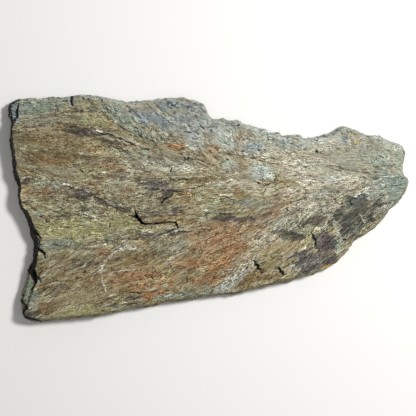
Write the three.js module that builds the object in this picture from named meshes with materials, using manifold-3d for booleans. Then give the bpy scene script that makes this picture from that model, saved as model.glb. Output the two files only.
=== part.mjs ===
// A polygonal flagstone: one irregular slab of split schist, laid flat, with its rough face up.
// The stone is foliated, like a stack of thin sheets grown together, so its broken edge is a pile of
// narrow ledges and its face is stepped where sheets have flaked away.
// Millimetres, +Z up, origin on the underside at the centre of the stone's box, +X towards the
// narrow end and +Y towards the long straight edge that is chipped back.

import * as THREE from "three";
import { mergeVertices } from "three/addons/utils/BufferGeometryUtils.js";
import Module from "manifold-3d";

const wasm = await Module();
wasm.setup();

// ---- driving dimensions -------------------------------------------------------------------------

const THICKNESS = 40; // from the bed to the highest sheet, at the middle of the stone
const TAPER_PER_METRE = 0.11; // share of the thickness lost per metre towards the narrow end
const RING_STEP = 13; // longest straight run along the broken edge
const SHEET_OVERLAP = 0.4; // how far each sheet reaches into the one below, so that they fuse
const CUT_LIFT = 5; // how far every cutter stands clear of the face that it cuts

// The sheets that make up the edge, from the bed up. share is how much of the rim's setback the sheet
// has taken, and wander is how far its own broken edge strays inwards.
const SHEETS = [
  { top: 5, share: 0.3, wander: 3.0 },
  { top: 13, share: 0.0, wander: 0.0 },
  { top: 19, share: 0.12, wander: 2.6 },
  { top: 27, share: 0.4, wander: 3.2 },
  { top: 33, share: 0.62, wander: 2.8 },
  { top: THICKNESS, share: 1.0, wander: 1.6 },
];

// The widest outline, clockwise from the north-west corner: x, y and the setback of the top face's rim.
const OUTLINE = [
  // north-west corner and the chipped north edge
  [-401, 202, 12], [-398, 209, 11], [-379, 219, 7], [-333, 221, 7], [-315, 223.5, 7],
  [-293, 222.5, 7], [-249, 227.6, 6], [-213, 223.5, 6], [-181, 216, 6], [-161, 213.5, 5],
  [-113, 216.5, 5], [-97, 219.5, 6], [-51, 221.5, 6], [-33, 217.5, 6], [-19, 213, 6],
  // the corner where the edge drops back
  [-9, 208, 6], [4, 182, 7], [9, 179.5, 7],
  // the rubbly north-east edge
  [23, 179.5, 7], [29, 181.5, 7], [35, 177.5, 7], [43, 175.5, 7], [55, 177, 7],
  [65, 175.5, 7], [71, 169, 7], [83, 167.5, 7], [101, 159.5, 7], [113, 160, 7],
  [127, 152, 7], [141, 152.5, 6], [147, 146.5, 6], [177, 148.5, 6], [185, 145, 6],
  [191, 139, 5],
  // up to the shoulder and down to the east end
  [223, 145.5, 5], [249, 154, 5], [265, 164, 5], [273, 164.5, 5], [297, 157, 5],
  [317, 146.5, 5], [341, 146, 5], [349, 141.5, 5], [387, 126, 6], [392, 118, 6],
  [394, 111, 6], [389, 86, 5], [391, 66, 5], [399, 61, 5], [401.4, 54, 5],
  // the long slant back to the south edge
  [397.5, 37, 5], [392, 28, 5], [383, 16, 5], [363, -3, 5], [343, -30, 5],
  [333, -39, 5], [311, -54, 5], [299, -59, 5], [289, -70, 5], [282, -82, 5],
  [259, -106, 5], [235, -121, 5], [213, -131, 4], [199, -135, 4], [189, -136, 4],
  // the south edge
  [169, -144, 4], [155, -148, 4], [143, -149, 4], [133, -153, 4], [123, -154, 4],
  [111, -158, 4], [97, -160, 4], [55, -171, 4], [25, -173, 5], [5, -176, 5],
  [-9, -176, 5], [-31, -182, 5], [-81, -188, 5], [-127, -197.5, 5], [-153, -200.5, 4],
  [-181, -208, 4], [-197, -209, 4], [-209, -214, 4], [-335, -227.6, 6],
  // the south-west corner and the hollowed west edge
  [-355, -225.5, 7], [-365, -221, 8], [-371, -212, 9], [-371.5, -200, 10], [-374.5, -186, 10],
  [-372, -168, 10], [-367, -152, 10], [-362, -124, 12], [-355, -112, 11], [-350, -100, 9],
  [-350.5, -88, 10], [-349, -76, 12], [-350, -65, 13], [-356, -54, 12], [-357, -40, 10],
  [-366, -14, 7], [-376, 2, 5], [-380.5, 18, 5], [-380.5, 45, 8], [-386, 56, 10],
  [-390, 72, 8], [-397.5, 140, 6], [-396.5, 160, 5], [-393, 170, 5], [-399.5, 186, 11],
];

// Where sheets have flaked off. Each row is one cross-section of the flake: an inner point, how far
// the stone drops there, an outer point, and the drop there.
const RIM_FLAKES = {
  northWestBevel: [
    [-378, 184, 0, -380, 228, 15], [-345, 184, 0, -346, 230, 18], [-317, 188, 0, -316, 232, 16],
    [-297, 195, 0, -292, 232, 12], [-267, 202, 0, -262, 236, 10], [-227, 206, 0, -226, 236, 9],
    [-197, 198, 0, -190, 228, 11], [-182, 188, 0, -168, 224, 13],
  ],
  northFacet: [
    [-190, 190, 0, -182, 226, 10], [-155, 170, 0, -150, 222, 12], [-120, 155, 0, -115, 224, 14],
    [-92, 150, 0, -88, 228, 17], [-60, 152, 0, -55, 230, 13], [-38, 142, 0, -22, 226, 15],
    [-12, 118, 0, 12, 206, 19],
  ],
  northEastRubble: [
    [-14, 116, 0, 4, 200, 16], [16, 114, 0, 20, 190, 17], [45, 120, 0, 50, 186, 16],
    [70, 118, 0, 80, 178, 18], [100, 112, 0, 104, 172, 16], [135, 108, 0, 140, 162, 15],
    [170, 112, 0, 178, 158, 14], [200, 122, 0, 200, 150, 8], [225, 140, 0, 226, 156, 3],
  ],
  shoulderChip: [
    [228, 140, 0, 226, 160, 3], [256, 146, 0, 252, 172, 7], [276, 150, 0, 278, 174, 7],
    [300, 142, 0, 306, 164, 5], [318, 136, 0, 322, 152, 2],
  ],
  eastChip: [
    [345, 138, 0, 352, 152, 4], [352, 120, 0, 394, 138, 9], [356, 100, 0, 402, 112, 12],
    [368, 84, 0, 400, 86, 9], [384, 68, 0, 400, 72, 5],
  ],
  southEastBevel: [
    [388, 46, 0, 408, 44, 4], [372, 26, 0, 398, 14, 6], [350, 2, 0, 372, -12, 7],
    [325, -22, 0, 346, -42, 6], [300, -42, 0, 314, -64, 4], [285, -60, 0, 300, -74, 4],
    [262, -82, 0, 278, -106, 6], [230, -98, 0, 242, -130, 8], [190, -118, 0, 198, -148, 6],
    [152, -138, 0, 154, -158, 2],
  ],
  southStrip: [
    [84, -155, 0, 88, -174, 3], [60, -150, 0, 64, -182, 6], [30, -152, 0, 34, -184, 8],
    [-10, -160, 0, -6, -186, 7], [-50, -168, 0, -46, -194, 7], [-88, -174, 0, -86, -202, 7],
    [-106, -184, 0, -106, -204, 4],
  ],
  southWestFragment: [
    [-346, -120, 7, -374, -112, 15], [-342, -132, 10, -376, -132, 16],
    [-342, -146, 10, -378, -150, 16], [-348, -162, 9, -382, -166, 15],
    [-354, -178, 7, -384, -182, 13], [-360, -196, 3, -384, -198, 8],
  ],
  northWestFragment: [
    [-384, 172, 2, -404, 170, 6], [-381, 180, 6, -408, 178, 11], [-380.5, 192, 9, -410, 192, 13],
    [-380, 206, 9, -410, 214, 14], [-376, 222, 7, -386, 232, 17],
  ],
};

// Knobs left standing on the rubbly north-east edge: the centre, the half sizes and the turn about z.
const KNOBS = {
  paleBoss: { centre: [24, 152, 20], half: [27, 35, 16.5], turn: 0.15 },
  secondKnob: { centre: [62, 166, 18], half: [19, 24, 13.5], turn: 0.5 },
  thirdKnob: { centre: [90, 149, 20], half: [22, 19, 14], turn: -0.35 },
  fourthKnob: { centre: [124, 144, 19], half: [24, 17, 14.5], turn: -0.15 },
  fifthKnob: { centre: [168, 137, 20], half: [27, 16, 14], turn: 0.1 },
};

// Low steps on the face: the inner line is the lip of the sheet that is left, and its drop runs out
// to nothing at the outer line.
const FACE_LEDGES = {
  longCrack: [
    [-158, -13, 0.4, -162, -30, 0], [-146, -20, 2, -156, -46, 0], [-133, -30, 3.6, -140, -68, 0],
    [-110, -31, 3.6, -112, -72, 0], [-74, -28, 3.4, -72, -64, 0], [-62, -30, 2.4, -52, -50, 0],
    [-57, -40, 0.6, -46, -52, 0],
  ],
  westBand: [
    [-376, 116, 1.2, -378, 100, 0], [-330, 113, 2, -334, 92, 0], [-280, 112, 2.2, -284, 94, 0],
    [-238, 103, 1.8, -246, 88, 0], [-206, 100, 0.4, -210, 92, 0],
  ],
  upperSeam: [
    [-236, 62, 0.5, -240, 50, 0], [-196, 70, 2.2, -200, 50, 0], [-150, 70, 2.4, -152, 48, 0],
    [-104, 76, 1.8, -106, 58, 0], [-66, 74, 2, -68, 60, 0], [-18, 82, 0.4, -20, 70, 0],
  ],
  rubbleFoot: [
    [20, 112, 0.5, 16, 100, 0], [58, 108, 2.2, 54, 90, 0], [94, 98, 2.4, 92, 82, 0],
    [132, 90, 1.8, 130, 74, 0], [176, 84, 0.4, 174, 76, 0],
  ],
  eastSweep: [
    [196, 92, 0.5, 192, 80, 0], [236, 90, 2, 232, 66, 0], [276, 78, 2.4, 274, 52, 0],
    [312, 70, 1.8, 312, 52, 0], [338, 66, 0.4, 336, 58, 0],
  ],
  middleFold: [
    [16, 22, 0.5, 14, 12, 0], [60, 26, 2, 56, 6, 0], [108, 22, 2.4, 106, 0, 0],
    [150, 30, 1.6, 150, 14, 0], [184, 34, 0.4, 184, 26, 0],
  ],
  westFold: [
    [-352, -6, 1, -354, -16, 0], [-318, -2, 2, -322, -24, 0], [-276, -8, 2.2, -280, -34, 0],
    [-232, -18, 2, -236, -40, 0], [-196, -24, 0.4, -198, -34, 0],
  ],
  westLowSeam: [
    [-322, -68, 0.6, -326, -82, 0], [-280, -76, 2, -284, -98, 0], [-236, -82, 2.4, -238, -104, 0],
    [-196, -72, 2, -196, -94, 0], [-160, -68, 0.4, -158, -80, 0],
  ],
  southWestSweep: [
    [-330, -160, 0.6, -336, -172, 0], [-286, -146, 2.2, -290, -172, 0], [-238, -134, 2.6, -240, -160, 0],
    [-190, -124, 2.2, -188, -144, 0], [-146, -112, 0.4, -144, -122, 0],
  ],
  southSeam: [
    [-222, -184, 0.6, -226, -196, 0], [-176, -172, 2, -178, -192, 0], [-122, -166, 2.2, -122, -180, 0],
    [-72, -154, 0.4, -70, -162, 0],
  ],
  highSweep: [
    [-222, 153, 0.6, -223, 141, 0], [-197, 146, 2, -201, 128, 0], [-173, 138, 2.2, -181, 118, 0],
    [-141, 126, 2, -151, 106, 0], [-119, 117, 0.6, -124, 106, 0],
  ],
  underFacet: [
    [-184, 169, 0.5, -190, 158, 0], [-150, 150, 1.7, -158, 138, 0], [-123, 137, 2, -131, 122, 0],
    [-96, 125, 0.5, -102, 117, 0],
  ],
  westSeam: [
    [-384, 58, 1.6, -386, 38, 0], [-345, 57, 2.2, -348, 32, 0], [-312, 54, 1.6, -318, 30, 0],
    [-282, 44, 2.2, -292, 16, 0], [-250, 36, 2.6, -262, 4, 0], [-216, 18, 2.4, -230, -14, 0],
    [-186, 2, 1.6, -196, -18, 0], [-164, -6, 0.4, -168, -14, 0],
  ],
  middleSweep: [
    [-84, 34, 0.5, -85, 24, 0], [-40, 41, 2, -43, 24, 0], [3, 47, 2.1, 0, 28, 0],
    [46, 53, 0.5, 43, 44, 0],
  ],
  darkSeam: [
    [-9, -7, 0.5, -10, -18, 0], [20, -11, 2.3, 19, -30, 0], [50, -10, 1.8, 50, -28, 0],
    [76, -6, 0.4, 77, -16, 0],
  ],
  purpleSeam: [
    [-180, -45, 0.5, -181, -56, 0], [-127, -48, 1.6, -130, -64, 0], [-87, -53, 2.2, -86, -72, 0],
    [-51, -45, 2.2, -46, -64, 0], [-20, -47, 0.5, -18, -58, 0],
  ],
  eastSeam: [
    [134, -44, 0.6, 136, -56, 0], [150, -48, 2.4, 153, -68, 0], [172, -50, 2.6, 176, -70, 0],
    [198, -43, 0.6, 202, -54, 0],
  ],
  southEastSeam: [
    [143, -106, 0.6, 149, -116, 0], [172, -90, 2.2, 181, -106, 0], [206, -78, 0.6, 212, -90, 0],
  ],
  greenShelf: [
    [332, 50, 0.5, 334, 30, 0], [352, 59, 2.6, 356, 22, 0], [378, 61, 3, 384, 22, 1],
    [412, 60, 3.4, 416, 30, 2.4],
  ],
  westSplinter: [
    [-345, -38, 1, -348, -50, 0], [-337, -54, 3, -342, -70, 0], [-330, -84, 3, -340, -86, 0],
    [-324, -96, 0.6, -332, -98, 0],
  ],
};

// The bed is split just as rough, but its flakes leave most of it flat.
const BED_FLAKES = {
  southWest: [
    [-212, -204, 0, -214, -232, 1], [-256, -196, 0, -262, -240, 7], [-300, -182, 0, -324, -252, 12],
    [-328, -166, 0, -398, -252, 14], [-340, -146, 0, -404, -176, 12], [-338, -104, 0, -380, -92, 8],
    [-350, -56, 0, -372, -52, 1],
  ],
  north: [
    [-196, 206, 0, -196, 232, 1], [-150, 190, 0, -150, 230, 6], [-90, 176, 0, -88, 236, 11],
    [-28, 160, 0, 6, 232, 12], [40, 140, 0, 54, 196, 10], [110, 126, 0, 126, 174, 8],
    [182, 132, 0, 190, 160, 1],
  ],
  east: [
    [316, 132, 0, 330, 160, 1], [334, 112, 0, 392, 156, 8], [346, 78, 0, 416, 92, 13],
    [346, 38, 0, 418, 36, 13], [322, -6, 0, 372, -32, 9], [276, -46, 0, 304, -78, 1],
  ],
  longHollow: [
    [-260, 40, 0.5, -250, -20, 0], [-150, 62, 4, -152, -14, 0], [-62, 50, 3, -72, -12, 0],
    [22, 70, 0.5, 12, 24, 0],
  ],
  shortHollow: [
    [58, -58, 0.5, 52, -108, 0], [140, -48, 3.6, 150, -108, 0], [224, -36, 0.5, 230, -80, 0],
  ],
};

// Open cracks: x, y and width at each point of the run, and how deep the crack goes.
const CRACKS = {
  longCrackUpper: { depth: 15, run: [[-145, -7, 2.5], [-143, -14, 7], [-138, -22, 9], [-132, -29, 8.5]] },
  longCrackSpur: { depth: 11, run: [[-157, -14, 2], [-149, -16, 3.5], [-141, -19, 4.5]] },
  longCrackRun: {
    depth: 14,
    run: [[-135, -30, 6], [-124, -31, 5], [-108, -31, 5.4], [-91, -28.5, 4.4], [-74, -27.5, 4.4], [-64, -29, 4.6]],
  },
  longCrackTail: { depth: 11, run: [[-66, -28, 4], [-63, -33, 4.4], [-62, -38, 2.4]] },
  slantCrack: { depth: 10, run: [[-92, 13, 2], [-87, 18, 4.5], [-80, 22, 4], [-72, 26, 2]] },
  rimNotch: { depth: 20, run: [[-275, 230, 5], [-272, 218, 5.5], [-274, 212, 4.5], [-270, 205, 3]] },
  cornerCrack: { depth: 17, run: [[-378, 210, 2], [-380, 203, 4.5], [-380.5, 192, 4], [-380, 180, 2]] },
  westCrackHigh: { depth: 15, run: [[-352, -40, 5], [-342, -49, 5], [-335, -58, 3.6], [-333, -64, 1.6]] },
  westCrackLow: { depth: 16, run: [[-346, -76, 6], [-337, -82, 5], [-327, -89, 4.4], [-324, -99, 2]] },
  fragmentCrack: { depth: 17, run: [[-352, -118, 5], [-344, -132, 6], [-342, -146, 4.4], [-349, -160, 3], [-352, -172, 1.6]] },
  fragmentSpur: { depth: 10, run: [[-338, -136, 2.5], [-335, -142, 4], [-333, -147, 2]] },
  eastCrack: { depth: 12, run: [[205, -45, 2], [210, -53, 4], [213, -63, 4.4], [215, -74, 2.6]] },
  southCrackWest: { depth: 12, run: [[91, -102, 2], [95, -109, 4.6], [98, -116, 5.4], [103, -122, 4.4], [107, -128, 2]] },
  southCrackEast: { depth: 11, run: [[139, -118, 3], [143, -123, 5], [147, -129, 4], [150, -131, 2]] },
  edgeCrack: { depth: 10, run: [[268, -60, 2], [273, -63, 5.5], [279, -60, 3.4], [284, -55, 1.6]] },
  southPitWest: { depth: 8, run: [[-113, -135, 3], [-110, -140, 5], [-109, -143, 3]] },
  southPitEast: { depth: 8, run: [[-43, -136, 2.6], [-42, -141, 4.4], [-41, -147, 2.6]] },
  northPit: { depth: 7, run: [[36, 100, 3], [39, 97, 5], [40, 94, 3]] },
  shoulderPit: { depth: 7, run: [[190, 119, 3], [192, 117.5, 4.8], [194, 116, 3]] },
  eastPit: { depth: 7, run: [[282, 15, 2.4], [282, 12, 4.2], [283, 8, 2.4]] },
};

// ---- shapes -------------------------------------------------------------------------------------

// A slow, uneven swing between -1 and 1 along the edge. Each seed gives another swing.
function wander(seed, distance) {
  return (
    0.5 * Math.sin(distance / 31 + seed * 2.1) +
    0.3 * Math.sin(distance / 13.7 + seed * 5.3) +
    0.2 * Math.sin(distance / 7.1 + seed * 9.7)
  );
}

// The outline as stations no further apart than RING_STEP, counter-clockwise, each with its
// distance along the edge, its rim setback and the direction that points into the stone.
function edgeStations() {
  const corners = [...OUTLINE].reverse();
  const stations = [];
  let distance = 0;
  corners.forEach(([x, y, setback], i) => {
    const [nextX, nextY, nextSetback] = corners[(i + 1) % corners.length];
    const length = Math.hypot(nextX - x, nextY - y);
    const pieces = Math.ceil(length / RING_STEP);
    for (let piece = 0; piece < pieces; piece++) {
      const t = piece / pieces;
      stations.push({
        point: new THREE.Vector2(THREE.MathUtils.lerp(x, nextX, t), THREE.MathUtils.lerp(y, nextY, t)),
        setback: THREE.MathUtils.lerp(setback, nextSetback, t),
        distance: distance + t * length,
      });
    }
    distance += length;
  });
  const reach = 3; // stations to either side that settle the edge's direction
  stations.forEach((station, i) => {
    const ahead = stations[(i + reach) % stations.length].point;
    const behind = stations[(i - reach + stations.length) % stations.length].point;
    const along = ahead.clone().sub(behind).normalize();
    station.inward = new THREE.Vector2(-along.y, along.x);
  });
  return stations;
}

// A closed geometry through rings of equal length. capOf gives the triangles that close a ring.
function loft(rings, capOf) {
  const count = rings[0].length;
  const last = (rings.length - 1) * count;
  const index = [];
  for (let ring = 0; ring + 1 < rings.length; ring++) {
    for (let i = 0; i < count; i++) {
      const a = ring * count + i;
      const b = ring * count + ((i + 1) % count);
      index.push(a, b, b + count, a, b + count, a + count);
    }
  }
  capOf(rings[0]).forEach(([a, b, c]) => index.push(c, b, a));
  capOf(rings.at(-1)).forEach(([a, b, c]) => index.push(last + a, last + b, last + c));
  return new THREE.BufferGeometry().setFromPoints(rings.flat()).setIndex(index);
}

const outlineCap = (ring) =>
  THREE.ShapeUtils.triangulateShape(ring.map((p) => new THREE.Vector2(p.x, p.y)), []);
const sectionCap = (ring) => ring.slice(2).map((_, i) => [0, i + 1, i + 2]);

// A closed geometry as a solid, with its faces turned outwards.
function solidOf(geometry) {
  const make = (triangles) =>
    new wasm.Manifold(
      new wasm.Mesh({
        numProp: 3,
        vertProperties: new Float32Array(geometry.attributes.position.array),
        triVerts: new Uint32Array(triangles),
      }),
    );
  const triangles = Array.from(geometry.index.array);
  const solid = make(triangles);
  return solid.volume() < 0 ? make(triangles.reverse()) : solid;
}

// One sheet of the stack: the outline, set back by the sheet's share and its own wandering break.
function sheetSolid(stations, level) {
  const { top, share, wander: stray } = SHEETS[level];
  const bottom = level === 0 ? 0 : SHEETS[level - 1].top - SHEET_OVERLAP;
  const loop = stations.map(({ point, setback, distance, inward }) => {
    const swing = 0.5 + 0.5 * wander(level + 1, distance);
    return point.clone().addScaledVector(inward, share * setback + stray * swing);
  });
  const rings = [bottom, top].map((z) => loop.map((p) => new THREE.Vector3(p.x, p.y, z)));
  return solidOf(loft(rings, outlineCap));
}

// The cutter for a flake, on the face at height face. up is 1 for the top face and -1 for the bed.
function flakeSolid(rows, face, up) {
  const rings = rows.map(([x, y, drop, outerX, outerY, outerDrop]) => [
    new THREE.Vector3(x, y, face + up * CUT_LIFT),
    new THREE.Vector3(x, y, face - up * drop),
    new THREE.Vector3(outerX, outerY, face - up * outerDrop),
    new THREE.Vector3(outerX, outerY, face + up * CUT_LIFT),
  ]);
  return solidOf(loft(rings, sectionCap));
}

// A knob: a coarse ball, stretched and turned, that sinks into the stone.
function knobSolid({ centre, half, turn }) {
  const ball = new THREE.IcosahedronGeometry(1, 1);
  ball.deleteAttribute("normal");
  ball.deleteAttribute("uv");
  return solidOf(mergeVertices(ball).scale(...half).rotateZ(turn).translate(...centre));
}

// The cutter for a crack: a deep wedge that narrows to a third of its width at the bottom.
function crackSolid({ run, depth }) {
  const rings = run.map(([x, y, width], i) => {
    const [aheadX, aheadY] = run[Math.min(i + 1, run.length - 1)];
    const [behindX, behindY] = run[Math.max(i - 1, 0)];
    const along = new THREE.Vector2(aheadX - behindX, aheadY - behindY).normalize();
    const corner = (side, z) =>
      new THREE.Vector3(x - (side * along.y * width) / 2, y + (side * along.x * width) / 2, z);
    const [top, bottom] = [THICKNESS + CUT_LIFT, THICKNESS - depth];
    return [corner(1, top), corner(1 / 3, bottom), corner(-1 / 3, bottom), corner(-1, top)];
  });
  return solidOf(loft(rings, sectionCap));
}

// ---- the stone ----------------------------------------------------------------------------------

function buildStone() {
  const stations = edgeStations();
  const join = (solid, added) => solid.add(added);
  const cut = (solid, cutter) => solid.subtract(cutter);
  const topFlake = (rows) => flakeSolid(rows, THICKNESS, 1);
  const bedFlake = (rows) => flakeSolid(rows, 0, -1);
  const stack = SHEETS.map((_, level) => sheetSolid(stations, level)).reduce(join);
  const knobs = Object.values(KNOBS).map((knob) => knobSolid(knob).intersect(stack));
  let stone = Object.values(RIM_FLAKES).map(topFlake).reduce(cut, stack);
  stone = knobs.reduce(join, stone);
  stone = Object.values(FACE_LEDGES).map(topFlake).reduce(cut, stone);
  stone = Object.values(BED_FLAKES).map(bedFlake).reduce(cut, stone);
  stone = Object.values(CRACKS).map(crackSolid).reduce(cut, stone);
  const { vertProperties, triVerts } = stone.getMesh();
  const geometry = new THREE.BufferGeometry()
    .setAttribute("position", new THREE.BufferAttribute(new Float32Array(vertProperties), 3))
    .setIndex(new THREE.BufferAttribute(new Uint32Array(triVerts), 1));
  // Thin the slab towards the narrow end. The bed stays flat at z = 0.
  const position = geometry.attributes.position;
  for (let i = 0; i < position.count; i++) {
    const taper = 1 - (TAPER_PER_METRE * position.getX(i)) / 1000;
    position.setZ(i, position.getZ(i) * taper);
  }
  // Put the origin under the centre of the box.
  geometry.computeBoundingBox();
  const centre = geometry.boundingBox.getCenter(new THREE.Vector3());
  geometry.translate(-centre.x, -centre.y, 0);
  geometry.computeVertexNormals();
  return geometry;
}

const schist = new THREE.MeshStandardMaterial({ color: 0x8b8268, roughness: 0.85, metalness: 0 });
const flagstone = new THREE.Mesh(buildStone(), schist);
flagstone.name = "flagstone";

const part = new THREE.Group();
part.add(flagstone);

export default part;
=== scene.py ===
# %% [markdown]
# # A polygonal flagstone
# One slab of split schist, about 80 cm long, lying flat with its rough face up. Schist is a stack of
# thin mineral sheets, so everything that the eye reads on it follows those sheets: long streaks and
# low steps on the face, narrow ledges on the broken edge, and stains that run along both.
#
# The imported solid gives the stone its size, outline, chipped rim and cracks. This file copies that
# solid, gives the copy a dense skin, carves the fine relief into it and builds the stone's finish.

# %% Load the fixed frame
import math

import bmesh
import bpy
import numpy as np
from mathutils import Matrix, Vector


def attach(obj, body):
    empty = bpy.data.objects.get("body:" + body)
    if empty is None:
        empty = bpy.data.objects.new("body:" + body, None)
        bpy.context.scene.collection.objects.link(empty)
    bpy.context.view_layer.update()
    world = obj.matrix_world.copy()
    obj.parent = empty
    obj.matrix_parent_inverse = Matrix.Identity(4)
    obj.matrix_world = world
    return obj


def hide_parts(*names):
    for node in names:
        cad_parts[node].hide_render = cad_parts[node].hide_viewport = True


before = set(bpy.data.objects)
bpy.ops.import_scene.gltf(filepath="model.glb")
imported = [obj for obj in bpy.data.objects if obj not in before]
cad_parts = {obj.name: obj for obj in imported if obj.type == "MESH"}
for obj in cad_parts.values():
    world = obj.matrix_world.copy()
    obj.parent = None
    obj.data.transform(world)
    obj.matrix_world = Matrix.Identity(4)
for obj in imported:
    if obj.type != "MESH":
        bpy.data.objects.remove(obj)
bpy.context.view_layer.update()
MM = 0.001  # Blender works in metres, and every size below is written in millimetres

# %% [markdown]
# ## A dense skin for the stone
# The solid has large flat faces, which are fine for weight and contact but can't hold relief. The Remesh
# modifier in voxel mode wraps it in an even net of small squares and keeps one closed body. The solid's
# own mesh stays as it is: the work is done on a copy, whose loose triangles are merged first.

# %% Wrap a copy of the solid in an even net
NET_SPACING = 1.6 * MM
WELD_DISTANCE = 0.001 * MM  # points closer than this become one


def baked_mesh(piece):
    """The piece's mesh with its modifiers applied, in place of the old one."""
    seen = piece.evaluated_get(bpy.context.evaluated_depsgraph_get())
    plain = bpy.data.meshes.new_from_object(seen)
    piece.modifiers.clear()
    piece.data = plain
    return plain


def dense_copy(node, name):
    """A merged copy of a node's mesh, wrapped in a net of squares NET_SPACING wide."""
    shell = bmesh.new()
    shell.from_mesh(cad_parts[node].data)
    bmesh.ops.remove_doubles(shell, verts=shell.verts, dist=WELD_DISTANCE)
    mesh = bpy.data.meshes.new(name)
    shell.to_mesh(mesh)
    shell.free()
    piece = bpy.data.objects.new(name, mesh)
    bpy.context.scene.collection.objects.link(piece)
    net = piece.modifiers.new("net", "REMESH")
    net.mode = "VOXEL"
    net.voxel_size = NET_SPACING
    net.adaptivity = 0
    baked_mesh(piece)
    return piece


stone = dense_copy("flagstone", "schist_flagstone")
print("net:", len(stone.data.vertices), "points")

# %% [markdown]
# ## Noise that can be stretched
# Rock looks like rock because its roughness has a grain. The helper below gives smooth random values at
# many points at once. Dividing the coordinates by different sizes before the call stretches its bumps:
# long and narrow for streaks, wide and thin for sheets.


# %% Smooth noise and a shaping curve
def noise(seed, *axes):
    """Smooth random values, mostly between -1 and 1, with bumps about one unit wide."""
    cells = [np.floor(axis).astype(np.int64) for axis in axes]
    parts = [axis - cell for axis, cell in zip(axes, cells)]
    fades = [part * part * part * (part * (part * 6 - 15) + 10) for part in parts]
    total = 0
    for corner in np.ndindex(*[2] * len(axes)):
        mixed = seed * 668265263
        weight = 1.7
        for side, cell, fade, step in zip(corner, cells, fades, (73856093, 19349663, 83492791)):
            mixed = mixed + (cell + side) * step
            weight = weight * (fade if side else 1 - fade)
        mixed = (mixed ^ (mixed >> 15)) * 2246822519
        mixed = mixed ^ (mixed >> 13)
        slope = 0
        for axis, (side, part) in enumerate(zip(corner, parts)):
            slope = slope + (((mixed >> (9 * axis)) & 511) / 255.5 - 1) * (part - side)
        total = total + weight * slope
    return total


def smooth_step(low, high, value):
    """0 below low, 1 above high, and a soft rise between them."""
    share = np.clip((value - low) / (high - low), 0, 1)
    return share * share * (3 - 2 * share)


# %% [markdown]
# ## The grain of the stone
# The sheets were folded before the rock hardened, so the grain turns from place to place. On the upper
# side it dips to the right, and on the lower side it climbs. Each place below says which way the grain
# runs there: x, y, how far it reaches, and the slope in degrees. In between, the slope is a weighted mean.
#
# A pattern can't simply be turned by an angle that changes from point to point, because it would shear.
# So each noise is drawn in five fixed directions, and every point takes the one or two that are nearest
# to its own grain. The carving and the colours both work in this way.

# %% Which way the grain runs
LEANS = {
    "north_west_corner": (-378, 100, 20, -38),
    "north_west": (-335, 175, 55, -2),
    "upper_west": (-275, 185, 45, -14),
    "upper_swirl": (-225, 120, 30, 16),
    "upper_middle": (-300, 125, 60, 1),
    "upper_dip": (-165, 165, 60, -33),
    "facet": (-60, 175, 65, -31),
    "facet_foot": (-70, 110, 40, -10),
    "rubble": (15, 135, 55, -38),
    "rubble_foot": (70, 90, 50, -27),
    "north_shoulder": (150, 110, 60, -13),
    "shoulder_top": (220, 125, 25, 14),
    "east_shoulder": (260, 100, 60, -14),
    "north_east_rim": (310, 130, 25, 8),
    "tip_north": (365, 95, 45, -20),
    "west_seam": (-300, 50, 45, -24),
    "west_corner": (-355, 20, 30, 14),
    "west_middle": (-220, 60, 45, 10),
    "middle": (-130, 60, 55, 0),
    "crack_slope": (-100, 18, 35, 24),
    "centre": (-20, 40, 50, 9),
    "centre_dip": (30, 65, 35, -8),
    "east_centre": (120, 25, 55, 22),
    "pale_east": (230, 60, 55, 4),
    "tip_south": (340, 30, 45, 22),
    "olive": (-290, -10, 60, -2),
    "seam_end": (-205, 0, 45, -18),
    "crack_west": (-150, -20, 25, -18),
    "crack_east": (-100, -10, 35, 8),
    "south_centre": (-20, -20, 50, 5),
    "east_slope": (100, -25, 50, 34),
    "dark_east": (240, -40, 70, 36),
    "west_tongue": (-330, -50, 35, -26),
    "south_west": (-260, -75, 50, 18),
    "purple": (-160, -58, 35, 6),
    "lens": (-80, -85, 60, 28),
    "rust": (20, -80, 60, 22),
    "south_east": (170, -90, 60, 32),
    "far_south_east": (280, -70, 45, 44),
    "low_west": (-300, -130, 50, 28),
    "arc": (-225, -128, 35, 46),
    "low_clay": (-170, -135, 40, 13),
    "low_centre": (-60, -140, 60, 24),
    "low_band": (40, -150, 55, 32),
    "south_corner": (-300, -185, 50, 20),
    "low_blue": (-175, -175, 40, 12),
}
STRIKES = (-40, -20, 0, 20, 40)  # degrees: the directions that every noise is drawn in
print("places with a slope of their own:", len(LEANS))


def lean_at(x, y):
    """The slope of the grain at each point, in degrees."""
    total = np.zeros(len(x))
    weights = np.full(len(x), 1e-9)
    for place_x, place_y, reach, lean in LEANS.values():
        weight = np.exp(-((x - place_x) ** 2 + (y - place_y) ** 2) / reach**2)
        total += weight * lean
        weights += weight
    return np.clip(total / weights, STRIKES[0], STRIKES[-1])


def grained(seed, x, y, lean, length, width):
    """Smooth random values whose bumps are drawn out along the grain."""
    value = np.zeros(len(x))
    for step, strike in enumerate(STRIKES):
        share = 1 - np.abs(lean - strike) / (STRIKES[1] - STRIKES[0])
        near = share > 0
        cosine, sine = math.cos(math.radians(strike)), math.sin(math.radians(strike))
        along = x[near] * cosine + y[near] * sine
        across = y[near] * cosine - x[near] * sine
        value[near] += np.sqrt(share[near]) * noise(100 * seed + step, along / length, across / width)
    return value
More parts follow.
